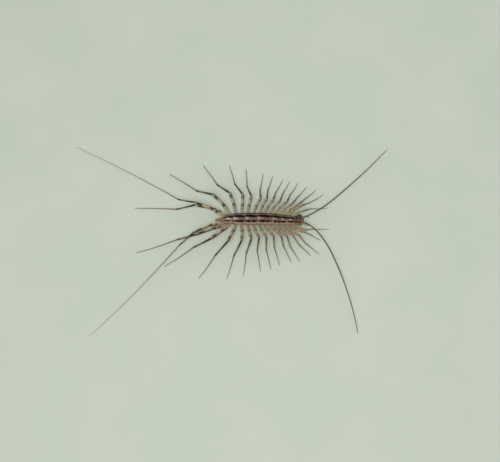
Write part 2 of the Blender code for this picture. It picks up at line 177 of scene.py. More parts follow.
# How leg parts bow, which keels end in a spur, and how dark the bands of each pair are.
LEG_ARCH = 0.035
SPUR_KEELS = (50.0, 130.0, 270.0)
LEG_STRENGTHS = (
    (1, 0.12), (4, 0.18), (8, 0.30), (10, 0.44), (11, 0.58), (12, 0.80), (13, 1.02), (15, 1.30),
)
SHIN_TONES = ((1, 0.44), (6, 0.50), (11, 0.54), (15, 0.46))
SHIN_DARKS = ((1, 0.34), (5, 0.38), (9, 0.42), (15, 0.50))

# Mouthparts, seen from one side: points as (ahead, out, up), radii, tones, rounds of hairs.
CLAW_LIMBS = (
    (((14.2, 0.50, 2.25), (15.4, 0.80, 1.84), (16.0, 1.02, 1.62), (16.35, 1.08, 1.54)),
     (0.40, 0.40, 0.38, 0.30), (0.10, 0.12, 0.2, 0.45), 1),
    (((16.15, 1.05, 1.58), (16.6, 1.10, 1.50), (16.95, 1.02, 1.45)),
     (0.26, 0.30, 0.24), (0.2, 0.3, 0.5), 2),
    (((16.80, 1.06, 1.47), (17.15, 0.92, 1.42), (17.5, 0.60, 1.44), (17.68, 0.26, 1.48)),
     (0.22, 0.22, 0.15, 0.05), (0.4, 0.6, 0.9, 1.0), 0),
)
PALP_LIMBS = (
    (((0.38, 0.24, 0.03), (0.80, 0.42, -0.05), (1.20, 0.46, -0.22)),
     (0.16, 0.21, 0.17), (0.3, 0.35, 0.6), 2),
    (((1.12, 0.46, -0.18), (1.60, 0.32, -0.58), (1.85, 0.12, -1.00)),
     (0.14, 0.17, 0.08), (0.35, 0.4, 0.5), 3),
    (((1.80, 0.15, -0.92), (1.87, 0.10, -1.10), (1.84, 0.06, -1.22)),
     (0.045, 0.035, 0.012), (0.8, 0.9, 1.0), 0, {"sides": 8}),
)
JAW_LIMBS = (
    (((14.0, 0.15, 2.10), (15.0, 0.40, 1.85), (15.75, 0.42, 1.82), (16.1, 0.30, 1.95)),
     (0.40, 0.50, 0.46, 0.25), (0.1, 0.1, 0.25, 0.5), 1),
    (((15.9, 0.50, 2.45), (16.7, 0.48, 2.32), (17.5, 0.34, 2.42)),
     (0.34, 0.40, 0.22), (0.1, 0.25, 0.7), 2, {"squash": 0.8}),
)
LIP = (
    (((16.9, 0.0, 2.75), (17.7, 0.0, 2.72), (18.22, 0.0, 2.62)),
     (0.55, 0.66, 0.42), (0.3, 0.35, 0.5), 0, {"sides": 26, "squash": 0.62}),
)

# Bristles: length and thickness of each kind, and the form that all of them share.
BRISTLE_SIZES = {
    "stiff": (0.17, 0.013), "plate": (0.13, 0.010), "belly": (0.15, 0.010),
    "tail": (0.17, 0.011), "head": (0.16, 0.012), "mouth": (0.16, 0.011),
    "foot": (0.15, 0.009), "feeler": (0.16, 0.009),
    "spur": (0.62, 0.038), "ankle_spur": (0.45, 0.038),
}
BRISTLE_FORM = {"Sides": 3, "Segments": 2, "Bend": 0.35}
SPOT_SIZE = 0.0015
VECTOR = "FLOAT_VECTOR"

# Floor and camera; the target is in millimetres and the rest in metres.
FLOOR_REACH = 1.6
CAMERA_TILT = math.radians(15)
CAMERA_TARGET = (0.0, -4.16, 3.0)
CAMERA_AWAY = 0.282


def at(pair, keys):
    """A leg size for one pair, read between the few pairs that state it."""
    return float(np.interp(pair, [key[0] for key in keys], [key[1] for key in keys]))


def eased(value, start, end):
    """Runs smoothly from 0 at start to 1 at end."""
    share = np.clip((value - start) / (end - start), 0.0, 1.0)
    return share * share * (3 - 2 * share)


def bump_at(value, centre, width):
    """A smooth hill of height 1."""
    return np.exp(-(((value - centre) / width) ** 2))


def trunk_size(place):
    """Half width, top and underside of the trunk at a place along it."""
    return [np.interp(place, STATIONS[:, 0], STATIONS[:, i]) for i in (1, 2, 3)]


def midline(place):
    """Sideways place of the body's middle, which bends a little at both ends."""
    return -FRONT_BEND * eased(place, 4.0, 15.0) - REAR_BEND * eased(-place, 7.0, 12.0)


def turned(value, angle):
    """Flat direction at an angle in degrees from straight ahead, for one side."""
    return Vector((math.cos(math.radians(angle)), value * math.sin(math.radians(angle)), 0.0))


def leg_heading(pair, side, part):
    """Heading of thigh (0), shin (1) or foot (2) as a flat direction."""
    return turned(side, POSE[pair - 1][1 if side > 0 else 2][part])


def root_frame(pair, side):
    """Centre of the face that a leg grows from, and the way it points."""
    place = at(pair, ROOT_PLACES)
    half = float(trunk_size(place)[0])
    middle = float(midline(place))
    face = Vector((place, middle + side * (half + ROOT_CLEAR), at(pair, ROOT_HEIGHTS)))
    out = Vector((0.0, side, 0.0)).lerp(leg_heading(pair, side, 0), at(pair, ROOT_TURNS))
    slope = math.radians(at(pair, ROOT_SLOPES))
    return face, out.normalized() * math.cos(slope) + Vector((0, 0, math.sin(slope)))


def step(start, length, heading, height):
    """The point a given length away, along a flat heading and up or down to a height."""
    drop = height - start.z
    reach = math.sqrt(max(length * length - drop * drop, 0.01))
    return Vector((start.x + heading.x * reach, start.y + heading.y * reach, height))


def leg_joints(pair, side):
    """Root, way out, hip, knee, ankle and tip of one leg."""
    face, out = root_frame(pair, side)
    thigh, shin, foot = REGROWN.get((pair, side), POSE[pair - 1][0])
    root = face + out * GAP
    knee = step(root, thigh, leg_heading(pair, side, 0), at(pair, KNEE_HEIGHTS))
    turn = side * math.radians(at(pair, HIP_TURNS[side]))
    hip = root + Matrix.Rotation(turn, 3, "Z") @ (knee - root) * HIP_SHARE
    hip.z = at(pair, HIP_HEIGHTS)
    ankle = step(knee, shin, leg_heading(pair, side, 1), at(pair, ANKLE_HEIGHTS))
    tip = step(ankle, foot, leg_heading(pair, side, 2), TIP_LEVEL)
    return root, out, hip, knee, ankle, tip


def foot_point(ankle, tip, side, share, radius):
    """A point along a foot, which sinks in a curve to the floor and bows forward a little."""
    run = tip - ankle
    point = ankle + run * share
    bow = FOOT_BOW * 4 * share * (1 - share)
    point += Vector((run.y, -run.x, 0.0)) * side * bow
    height = TIP_HEIGHT + (ankle.z - TIP_HEIGHT) * (1 - share) ** 1.5
    point.z = max(height, radius)
    return point


def feeler_socket(side):
    """Centre of the face a feeler grows from, and the way it points."""
    offset = FEELER_OFFSET
    face = HEAD_CENTRE + Vector((offset.x, side * offset.y, offset.z))
    return face, Vector((0.93, side * 0.12, 0.34)).normalized()


def feeler_route(side_name):
    """Points of one feeler along its curving heading."""
    side = SIDES[side_name]
    reach, headings = FEELERS[side_name]
    count = 22
    step_length = reach / count
    start, out = feeler_socket(side)
    point = start + out * GAP
    points = [point]
    for i in range(count):
        angle = float(np.interp((i + 0.5) * step_length, *zip(*headings)))
        height = float(np.interp((i + 1) * step_length, *zip(*FEELER_HEIGHTS)))
        point = step(point, step_length, turned(1, angle), height)
        points.append(point)
    return [start - out * 0.5] + points


def smooth_path(points, spacing):
    """The points joined by a smooth curve and read again at an even spacing."""
    points = np.array([tuple(point) for point in points])
    lengths = np.concatenate(([0.0], np.cumsum(np.linalg.norm(np.diff(points, axis=0), axis=1))))
    slopes = np.gradient(points, lengths, axis=0)
    places = np.linspace(0.0, lengths[-1], max(int(lengths[-1] / spacing), 4))
    index = np.clip(np.searchsorted(lengths, places, side="right") - 1, 0, len(points) - 2)
    span = (lengths[index + 1] - lengths[index])[:, None]
    share = (places[:, None] - lengths[index][:, None]) / span
    path = (
        (2 * share**3 - 3 * share**2 + 1) * points[index]
        + (share**3 - 2 * share**2 + share) * span * slopes[index]
        + (3 * share**2 - 2 * share**3) * points[index + 1]
        + (share**3 - share**2) * span * slopes[index + 1]
    )
    return path, places


def frames(path, side):
    """Way along, way forward and way up at each point of a path."""
    along = np.gradient(path, axis=0)
    along /= np.linalg.norm(along, axis=1)[:, None]
    forward = side * np.cross(along, (0.0, 0.0, 1.0))
    forward /= np.linalg.norm(forward, axis=1)[:, None]
    rise = side * np.cross(forward, along)
    return along, forward, rise


class Shell:
    """Collects closed skins over rings of points, with a few values for each point."""

    def __init__(self, keys):
        self.keys = keys
        self.points = []
        self.values = {key: [] for key in keys}
        self.faces = []
        self.count = 0

    def add(self, rings, values):
        """A skin over rings of equal size; the first and last ring are drawn to a point."""
        rows, size = rings.shape[:2]
        start = self.count
        centres = (rings[0].mean(axis=0), rings[-1].mean(axis=0))
        self.points.append(rings.reshape(-1, 3))
        self.points.append(np.array(centres))
        for key in self.keys:
            value = np.broadcast_to(values[key], (rows, size)).astype(float)
            self.values[key].append(value.ravel())
            self.values[key].append(np.array((value[0].mean(), value[-1].mean())))
        index = start + np.arange(rows * size).reshape(rows, size)
        after = np.roll(index, -1, axis=1)
        quads = np.stack((index[:-1], after[:-1], after[1:], index[1:]), axis=-1).reshape(-1, 4)
        self.faces.extend(quads.tolist())
        first = start + rows * size
        for j in range(size):
            self.faces.append((first, int(after[0, j]), int(index[0, j])))
            self.faces.append((first + 1, int(index[-1, j]), int(after[-1, j])))
        self.count = first + 2

    def sheet(self, top, under, values):
        """A thin plate between two grids of points of equal size."""
        rows, size = top.shape[:2]
        start = self.count
        self.points.append(top.reshape(-1, 3))
        self.points.append(under.reshape(-1, 3))
        for key in self.keys:
            value = np.broadcast_to(values[key], (rows, size)).astype(float).ravel()
            self.values[key].extend((value, value))
        upper = start + np.arange(rows * size).reshape(rows, size)
        lower = upper + rows * size
        for grid in (upper, lower):
            quads = np.stack((grid[:-1, :-1], grid[:-1, 1:], grid[1:, 1:], grid[1:, :-1]), axis=-1)
            self.faces.extend(quads.reshape(-1, 4).tolist())
        rim = np.concatenate((upper[0, :-1], upper[:-1, -1], upper[-1, :0:-1], upper[:0:-1, 0]))
        other = rim + rows * size
        ring = np.stack((rim, np.roll(rim, -1), np.roll(other, -1), other), axis=-1)
        self.faces.extend(ring.tolist())
        self.count = start + 2 * rows * size

    def finish(self, name, material, slot, crease=60.0):
        """One smooth mesh of all the skins, with its faces pointing out."""
        mesh = bpy.data.meshes.new(name)
        mesh.from_pydata(in_metres(np.concatenate(self.points)).tolist(), [], self.faces)
        carry(mesh, {key: np.concatenate(self.values[key]) for key in self.keys})
        return place_piece(name, smooth_skin(mesh, material, crease))


def in_metres(points):
    """Points of the animal moved to the frame's centre and turned to metres."""
    return (np.asarray(points) - CENTRE) * MM


def carry(mesh, values, kind="FLOAT", field="value"):
    """Stores values for the points of a mesh under their names."""
    for key, value in values.items():
        layer = mesh.attributes.new(key, kind, "POINT")
        layer.data.foreach_set(field, np.asarray(value, np.float32).ravel())


def face_outwards(mesh):
    """Turns every closed skin of a mesh right side out."""
    form = bmesh.new()
    form.from_mesh(mesh)
    bmesh.ops.remove_doubles(form, verts=form.verts, dist=1e-9)
    bmesh.ops.recalc_face_normals(form, faces=form.faces)
    form.to_mesh(mesh)
    form.free()


def place_piece(name, mesh):
    """Puts a finished mesh in the scene as a piece that rides on the frame."""
    obj = bpy.data.objects.new(name, mesh)
    bpy.context.scene.collection.objects.link(obj)
    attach(obj, "root")
    return obj


def join_meshes(name, meshes):
    """Several meshes with the same values as one."""
    keys = [layer.name for layer in meshes[0].attributes if layer.data_type == "FLOAT"]
    points, faces, start = [], [], 0
    values = {key: [] for key in keys}
    for mesh in meshes:
        block = np.empty(len(mesh.vertices) * 3, np.float32)
        mesh.vertices.foreach_get("co", block)
        points.append(block.reshape(-1, 3))
        faces.extend([[start + index for index in face.vertices] for face in mesh.polygons])
        start += len(mesh.vertices)
        for key in keys:
            column = np.empty(len(mesh.vertices), np.float32)
            mesh.attributes[key].data.foreach_get("value", column)
            values[key].append(column)
    joined = bpy.data.meshes.new(name)
    joined.from_pydata(np.concatenate(points).tolist(), [], faces)
    carry(joined, {key: np.concatenate(values[key]) for key in keys})
    return joined


def smooth_skin(mesh, material, crease=60.0):
    """A mesh right side out, smooth but for its creases, with its material."""
    face_outwards(mesh)
    mesh.shade_smooth()
    mesh.set_sharp_from_angle(angle=math.radians(crease))
    mesh.materials.append(material)
    return mesh


def colour(red, green, blue):
    """A colour as seen on a screen, turned to the light it reflects."""
    shares = [value / 255 for value in (red, green, blue)]
    light = [s / 12.92 if s <= 0.04045 else ((s + 0.055) / 1.055) ** 2.4 for s in shares]
    return (*light, 1.0)


class Value:
    """One output of a node; plain arithmetic on it lays out further nodes."""

    def __init__(self, layout, socket):
        self.layout, self.socket = layout, socket

    def __add__(self, other):
        return self.layout.math("ADD", self, other)

    def __sub__(self, other):
        return self.layout.math("SUBTRACT", self, other)

    def __mul__(self, other):
        return self.layout.math("MULTIPLY", self, other)

    def __radd__(self, other):
        return self.layout.math("ADD", other, self)

    def __rsub__(self, other):
        return self.layout.math("SUBTRACT", other, self)

    def __abs__(self):
        return self.layout.math("ABSOLUTE", self)

    def held(self):
        """Keeps the result of this step between 0 and 1."""
        self.socket.node.use_clamp = True
        return self

    def beside(self, name):
        """Another output of the same node."""
        return Value(self.layout, self.socket.node.outputs[name])


class Layout:
    """Lays out the nodes of one tree."""

    def __init__(self, tree):
        self.tree = tree

    def node(self, kind, inputs=None, out=0, **settings):
        """Adds a node, sets or links its inputs and returns one of its outputs."""
        made = self.tree.nodes.new(kind)
        for key, value in settings.items():
            setattr(made, key, value)
        for key, value in (inputs or {}).items():
            self.feed(made.inputs[key], value)
        return Value(self, made.outputs[out])

    def feed(self, socket, value):
        """Links another node's output to an input, or sets the input's own value."""
        if isinstance(value, Value):
            self.tree.links.new(value.socket, socket)
        else:
            socket.default_value = value

    def math(self, operation, *parts):
        """One step of arithmetic."""
        return self.node("ShaderNodeMath", dict(enumerate(parts)), operation=operation)

    def combined(self, x, y=0.0, z=0.0):
        """Three numbers as one place."""
        return self.node("ShaderNodeCombineXYZ", {"X": x, "Y": y, "Z": z})

    def named(self, name, kind="FLOAT"):
        """Reads a value that the points carry."""
        return self.node("GeometryNodeInputNamedAttribute", {"Name": name}, data_type=kind)

    def store(self, geometry, name, value, kind="FLOAT", domain="POINT"):
        """Stores a value on a geometry under a name."""
        inputs = {"Geometry": geometry, "Name": name, "Value": value}
        return self.node("GeometryNodeStoreNamedAttribute", inputs, data_type=kind, domain=domain)


class Finish(Layout):
    """Lays out a surface finish round one main shader."""

    def __init__(self, name):
        self.material = bpy.data.materials.new(name)
        self.material.use_nodes = True
        super().__init__(self.material.node_tree)
        self.shader = self.tree.nodes["Principled BSDF"]
        self.place = self.node("ShaderNodeTexCoord", out="Object")

    def constants(self, **values):
        """Sets plain values on the shader's own sockets."""
        for key, value in values.items():
            self.shader.inputs[key.replace("_", " ")].default_value = value

    def value(self, name):
        """A value that the mesh carries."""
        return self.node("ShaderNodeAttribute", out="Fac", attribute_name=name)

    def values(self, *names):
        """Several values that the mesh carries."""
        return [self.value(name) for name in names]

    def limb_places(self, share):
        """Places on an unrolled limb: true to size, and drawn out along it."""
        run, flat, tall = self.values("run", "flat", "tall")
        return self.combined(run, flat, tall), self.combined(run * share, flat, tall)

    def noise(self, scale, detail=3.0, rough=0.55, vector=None):
        """Cloudy noise, about 0.5 on average; the scale is in features for each metre."""
        where = {"Vector": vector or self.place, "Scale": scale}
        inputs = {**where, "Detail": detail, "Roughness": rough}
        return self.node("ShaderNodeTexNoise", inputs, out="Fac")

    def cells(self, scale, vector=None):
        """Distance inside small cells."""
        inputs = {"Vector": vector or self.place, "Scale": scale}
        return self.node("ShaderNodeTexVoronoi", inputs, out="Distance", feature="F1")

    def spread(self, value, low, high, new_low=0.0, new_high=1.0, smooth=True):
        """Maps a range of values to another one, held at both ends."""
        kind = "SMOOTHSTEP" if smooth else "LINEAR"
        inputs = {0: value, 1: low, 2: high, 3: new_low, 4: new_high}
        return self.node("ShaderNodeMapRange", inputs, interpolation_type=kind)

    def blend(self, share, first, second):
        """Mixes two colours by a share."""
        tints = [colour(*tint) if isinstance(tint, tuple) else tint for tint in (first, second)]
        inputs = {0: share, 6: tints[0], 7: tints[1]}
        return self.node("ShaderNodeMix", inputs, out=2, data_type="RGBA", blend_type="MIX")

    def ramp(self, value, *stops):
        """A colour read from stops, each a place and its red, green and blue."""
        made = self.node("ShaderNodeValToRGB", {0: value})
        elements = made.socket.node.color_ramp.elements
        while len(elements) < len(stops):
            elements.new(0.5)
        for element, (place, *tint) in zip(elements, stops):
            element.position = place
            element.color = colour(*tint)
        return made

    def relief(self, height, depth, strength=1.0, normal=None):
        """Small relief from a height of 0 to 1; the depth is in millimetres."""
        inputs = {"Strength": strength, "Distance": depth * MM, "Height": height}
        if normal is not None:
            inputs["Normal"] = normal
        return self.node("ShaderNodeBump", inputs)

    def pitted(self, waves, depth, pits, size, pit_depth):
        """Relief of the back's hard shell: broad waves, fine ridges and small pits."""
        normal = self.relief(self.noise(5200, 5.0, 0.6), 0.020, 0.8)
        normal = self.relief(self.noise(waves, 2.0), depth, 0.5, normal)
        return self.relief(self.spread(self.cells(pits), 0.0, size), pit_depth, 0.7, normal)

    def done(self, tint, rough, normal=None):
        """Joins colour, roughness and relief to the shader."""
        for key, value in (("Base Color", tint), ("Roughness", rough), ("Normal", normal)):
            if value is not None:
                self.feed(self.shader.inputs[key], value)
        return self.material


def plate_finish():
    """Satin brown shell with dark broken stripes and pale spots at the breathing pores, the spots
    partly real and partly painted glints; painted shade darkens the far (left) flank and rim, and
    painted light brightens the near (right) flank.
    """
    f = Finish("back_shell")
    across, lane, along, pore_spot_and_glint = f.values("across", "lane", "along", "pore_spot_and_glint")
    side = f.spread(lane, -0.25, 0.25)
    broad = (f.noise(760, 3.0) - 0.5) * 0.42
    ragged = (f.noise(3600, 3.0, 0.6) - 0.5) * 0.34
    wander = broad + ragged
    lane_out = abs(lane) + wander
    mottle = f.noise(2600, 4.0, 0.68)
    middle = f.ramp(mottle, (0.25, 72, 52, 44), (0.5, 116, 93, 82), (0.76, 176, 154, 138))
    # Outer bands of the plates: the far (left) one is painted darker and greyer as painted shade,
    # the near (right) one lighter and warmer as painted light.
    shaded_far_flank = f.ramp(mottle, (0.22, 82, 68, 56), (0.5, 126, 112, 96), (0.8, 168, 154, 134))
    lit_near_flank = f.ramp(mottle, (0.22, 116, 91, 71), (0.5, 156, 133, 111), (0.8, 188, 168, 144))
    tint = f.blend(f.spread(lane_out, 0.9, 1.15), middle, f.blend(side, lit_near_flank, shaded_far_flank))
    tint = f.blend(f.spread(f.noise(520, 2.0), 0.45, 0.75, 0.0, 0.4), tint, (104, 74, 56))
    centre_line = f.spread(abs(lane), 0.0, 0.26, 1.0, 0.0)
    centre_line = centre_line * f.spread(mottle, 0.35, 0.6, 0.65, 0.15)
    tint = f.blend(centre_line, tint, (62, 40, 36))
    belly = f.spread(abs(along - 0.52), 0.16, 0.52, 1.0, 0.42)
    width = belly * (0.42 + side * 0.1)
    slanted = 0.93 + along * (side * 0.14)
    away = abs(lane_out - slanted) - width
    stripe = f.spread(away, -0.05, 0.05, 1.0, 0.0)
    halo = f.spread(away, 0.0, 0.30, 0.40, 0.0)
    tapered = abs(lane_out - 0.98) * -0.16
    run = f.combined(f.value("run") + ragged * 1.6)
    dashes = f.spread(f.noise(0.85, 1.0, 0.5, run) + tapered, 0.375, 0.435, 0.06, 1.0)
    kept = f.math("MAXIMUM", side, dashes)
    flecks = f.spread(f.noise(3000, 3.0, 0.7), 0.62, 0.74, 1.0, 0.55)
    stripe = stripe * kept * flecks
    tint = f.blend(halo * kept, tint, (60, 38, 30))
    ink = f.ramp(mottle, (0.3, 5, 2, 1), (0.8, 20, 10, 6))
    tint = f.blend(stripe, tint, ink)
    # Dark plate edge: partly a real dark edge line, and partly painted shade that makes it much
    # wider and darker on the far (left) side.
    outer = abs(across) + wander * 0.2 + side * 0.16
    rim = f.spread(outer, 0.89, 0.97) * f.spread(side, 0.0, 1.0, 0.35, 0.94)
    tint = f.blend(rim, tint, f.ramp(mottle, (0.3, 20, 11, 8), (0.8, 52, 34, 26)))
    seam = f.math("MAXIMUM", f.spread(along, 0.965, 0.995), f.spread(along, 0.10, 0.02))
    tint = f.blend(seam * 0.6, tint, (46, 30, 24))
    # Pale spot at each breathing pore, partly the real spot and partly a painted glint, with a
    # painted glint haze over the middle band.
    spot_and_glint = pore_spot_and_glint * f.spread(mottle, 0.25, 0.6, 0.55, 1.0) * (1.0 - stripe * 0.85)
    tint = f.blend((spot_and_glint * 0.92).held(), tint, (214, 192, 184))
    orange = f.ramp(mottle, (0.25, 98, 78, 56), (0.5, 150, 124, 94), (0.75, 192, 166, 132))
    tint = f.blend(f.value("warm") * 0.9, tint, orange)
    normal = f.pitted(1500, 0.05, 7800, 0.45, 0.010)
    rough = (f.spread(mottle, 0.2, 0.8, 0.38, 0.6) + stripe * 0.25).held()
    f.constants(Coat_Weight=0.01, Coat_Roughness=0.30, Specular_IOR_Level=0.11)
    f.constants(Subsurface_Weight=0.05, Subsurface_Scale=0.0003)
    return f.done(tint, rough, normal)


def head_finish():
    """Head shell: mauve brown crown, dark blots where the back's stripes end, tan cheeks."""
    f = Finish("head_shell")
    across, along, rise, blot, suture = f.values("across", "along", "rise", "blot", "suture")
    broad = f.noise(1100, 3.0) - 0.5
    ragged = f.noise(4200, 4.0, 0.65) - 0.5
    wander = broad * 0.24 + ragged * 0.24
    mottle = f.noise(2900, 5.0, 0.7)
    tint = f.ramp(mottle, (0.25, 96, 72, 48), (0.5, 142, 113, 80), (0.78, 184, 154, 118))
    crown = f.spread(abs(across + wander - STRIPE_SHIFT), 1.15, 0.75)
    crown = crown * f.spread(along + wander, 1.5, 1.1)
    mauve = f.ramp(mottle, (0.25, 70, 47, 42), (0.5, 106, 80, 72), (0.78, 150, 122, 110))
    tint = f.blend(crown * 0.9, tint, mauve)
    # Painted shade: the far (left) side of the head is painted darker.
    far_side_shade = f.spread(across + wander, 0.45, 1.0, 0.0, 0.75)
    tint = f.blend(far_side_shade, tint, (62, 43, 34))
    tint = f.blend(f.spread(f.noise(1500, 2.0), 0.52, 0.7, 0.0, 0.45), tint, (80, 54, 40))
    top = f.spread(rise, 0.12, 0.32)
    edge = blot + wander
    tint = f.blend(f.spread(edge, -0.02, 0.24, 0.5, 0.0) * top, tint, (58, 36, 28))
    ink = f.ramp(mottle, (0.3, 10, 5, 4), (0.8, 34, 19, 14))
    tint = f.blend(f.spread(edge, -0.04, 0.05, 1.0, 0.0) * top, tint, ink)
    tint = f.blend((suture * 0.65).held(), tint, (48, 29, 20))
    tint = f.blend(f.spread(rise, 0.05, -0.35, 0.0, 0.6), tint, (166, 138, 102))
    corner = f.spread(along, 0.8, 1.3) * f.spread(across + wander, -0.4, -0.9)
    tint = f.blend(corner * 0.45, tint, (148, 96, 56))
    brow = f.spread(along + wander * 0.3, 1.26, 1.42) * f.spread(rise, -0.25, 0.0)
    tint = f.blend(brow * 0.8, tint, (58, 42, 28))
    normal = f.pitted(1700, 0.04, 6800, 0.4, 0.012)
    f.constants(Coat_Weight=0.02, Coat_Roughness=0.30, Specular_IOR_Level=0.14)
    f.constants(Subsurface_Weight=0.06, Subsurface_Scale=0.0003)
    return f.done(tint, f.spread(mottle, 0.2, 0.8, 0.38, 0.58), normal)


def trunk_finish():
    """Flanks and belly: glossy pale tan plates with darker wrinkled skin between them."""
    f = Finish("trunk_skin")
    hard, fold = f.values("hard", "fold")
    mottle = f.noise(1800, 4.0, 0.66)
    plates = f.ramp(mottle, (0.25, 112, 94, 68), (0.5, 152, 134, 102), (0.78, 184, 168, 136))
    skin = f.ramp(mottle, (0.25, 78, 60, 50), (0.5, 118, 97, 82), (0.8, 160, 140, 118))
    tint = f.blend(hard, skin, plates)
    tint = f.blend(f.spread(f.noise(700, 3.0), 0.5, 0.68, 0.0, 0.45), tint, (84, 62, 50))
    tint = f.blend((fold * 0.75).held(), tint, (52, 36, 28))
    specks = f.spread(f.cells(4600), 0.1, 0.2, 0.6, 0.0) * hard
    tint = f.blend(specks, tint, (70, 50, 36))
    depth = f.relief(f.noise(4200, 4.0, 0.65), 0.03, 0.7)
    f.constants(Specular_IOR_Level=0.40, Coat_Weight=0.06, Coat_Roughness=0.3)
    return f.done(tint, f.spread(hard, 0.0, 1.0, 0.58, 0.38, smooth=False), depth)


def leg_finish():
    """Legs: pale tan shell with fine streaks and specks, and olive brown bands at the joints."""
    f = Finish("leg_shell")
    tone, soft, rings = f.values("tone", "soft", "groove")
    round_it, drawn = f.limb_places(0.30)
    streaks = f.noise(7.0, 4.0, 0.62, drawn)
    clouds = f.noise(1.5, 3.0, 0.6, round_it)
    uneven = (f.noise(3.2, 4.0, 0.65, round_it) - 0.5) * 0.42
    edged = (streaks - 0.5) * 0.22
    tone = (tone + uneven + edged).held()
    tint = f.ramp(
        tone, (0.0, 214, 204, 178), (0.2, 186, 173, 140), (0.4, 154, 142, 108), (0.58, 98, 90, 62),
        (0.72, 42, 38, 23), (0.92, 13, 11, 6),
    )
    tint = f.blend(f.spread(clouds, 0.42, 0.7, 0.0, 0.25), tint, (150, 122, 88))
    tint = f.blend(f.value("warm") * 0.42, tint, (162, 132, 102))
    specks = f.spread(f.cells(5.5, round_it), 0.10, 0.20, 0.55, 0.0)
    specks = specks * f.spread(f.noise(2.1, 2.0, 0.5, round_it), 0.45, 0.6)
    tint = f.blend(specks, tint, (66, 48, 30))
    tint = f.blend(soft * 0.62, tint, (98, 80, 56))
    tint = f.blend(rings * 0.45, tint, (60, 48, 28))
    grain = f.noise(16.0, 4.0, 0.6, round_it)
    normal = f.relief(streaks, 0.016, 0.7, f.relief(grain, 0.010, 0.6))
    f.constants(Specular_IOR_Level=0.42, Coat_Weight=0.07, Coat_Roughness=0.28)
    f.constants(Subsurface_Weight=0.12, Subsurface_Scale=0.0004)
    return f.done(tint, f.spread(streaks, 0.2, 0.8, 0.36, 0.58), normal)


def feeler_finish():
    """Feelers: dark olive brown, every ring edged a little darker."""
    f = Finish("feeler_skin")
    tone, groove = f.values("tone", "groove")
    broad = (f.noise(900, 3.0) - 0.5) * 0.5
    fine = f.noise(9000, 4.0, 0.68)
    uneven = broad + (fine - 0.5) * 0.6
    tint = f.ramp(
        (tone + uneven).held(), (0.0, 158, 146, 110), (0.4, 114, 105, 73), (0.7, 72, 64, 39),
        (1.0, 36, 29, 16),
    )
    edges = f.spread(groove + uneven * 0.5, 0.35, 0.85, 0.0, 0.85)
    tint = f.blend(edges, tint, (36, 27, 15))
    tint = f.blend(f.spread(f.cells(5200), 0.08, 0.18, 0.6, 0.0), tint, (38, 28, 17))
    normal = f.relief(fine, 0.020, 0.8)
    f.constants(Specular_IOR_Level=0.25, Sheen_Weight=0.15, Sheen_Roughness=0.4)
    return f.done(tint, f.spread(fine, 0.2, 0.8, 0.44, 0.66), normal)


def eye_finish():
    """Compound eyes: glossy, the left one near black and the right one paler brown as a painted
    reflection.
    """
    f = Finish("eye_lens")
    hue = f.noise(1500, 2.0)
    dark = f.ramp(hue, (0.3, 16, 10, 8), (0.6, 36, 24, 18), (0.85, 66, 46, 34))
    # Painted reflection: the paler brown given to the right eye.
    pale = f.ramp(hue, (0.3, 84, 63, 44), (0.6, 130, 103, 74), (0.85, 172, 143, 110))
    sideways = f.node("ShaderNodeSeparateXYZ", {0: f.place}, out=1)
    tint = f.blend(f.spread(sideways, 0.0050, 0.0058), pale, dark)
    f.constants(Coat_Weight=0.22, Coat_Roughness=0.14, Specular_IOR_Level=0.35)
    return f.done(
        tint, f.spread(hue, 0.2, 0.8, 0.20, 0.32), f.relief(f.noise(6000, 2.0), 0.004, 0.4)
    )


def claw_finish():
    """Venom claws and their plate: streaked tan shell, with dark hardened points."""
    f = Finish("claw_horn")
    tone = f.value("tone")
    round_it, drawn = f.limb_places(0.35)
    streaks = f.noise(7.0, 4.0, 0.62, drawn)
    clouds = f.noise(2.4, 4.0, 0.65, round_it)
    uneven = (streaks - 0.5) * 0.4 + (clouds - 0.5)
    tint = f.ramp(
        (tone + uneven * 0.8).held(), (0.0, 178, 158, 124), (0.3, 148, 124, 92),
        (0.55, 112, 84, 58), (0.78, 62, 39, 24), (1.0, 20, 10, 6),
    )
    specks = f.spread(f.cells(4.5, round_it), 0.1, 0.22, 0.6, 0.0)
    specks = specks * f.spread(tone, 0.5, 0.7, 1.0, 0.0)
    tint = f.blend(specks, tint, (74, 52, 34))
    normal = f.relief(streaks, 0.020, 0.7, f.relief(f.noise(15.0, 4.0, 0.6, round_it), 0.012, 0.6))
    f.constants(Coat_Weight=0.12, Coat_Roughness=0.22, Specular_IOR_Level=0.40)
    return f.done(tint, f.spread(tone, 0.0, 1.0, 0.50, 0.26), normal)


def bristle_finish():
    """Stiff dark brown bristles, paler and finer at their tips."""
    f = Finish("bristle_brown")
    tip = f.value("tip")
    shade = f.noise(900, 2.0)
    root = f.ramp(shade, (0.3, 34, 24, 14), (0.7, 72, 54, 32))
    tint = f.blend(tip, root, (132, 106, 66))
    f.constants(Specular_IOR_Level=0.5, Sheen_Weight=0.1)
    return f.done(tint, f.spread(tip, 0.0, 1.0, 0.35, 0.5))


def floor_finish():
    """A plain pale matt floor."""
    f = Finish("pale_floor")
    cloud = f.noise(30, 3.0)
    tint = f.blend(f.spread(cloud, 0.3, 0.7), (189, 198, 182), (194, 202, 187))
    f.constants(Emission_Color=colour(228, 240, 220), Emission_Strength=0.07)
    return f.done(
        tint, f.spread(cloud, 0.3, 0.7, 0.80, 0.86), f.relief(f.noise(1200, 3.0), 0.02, 0.15)
    )


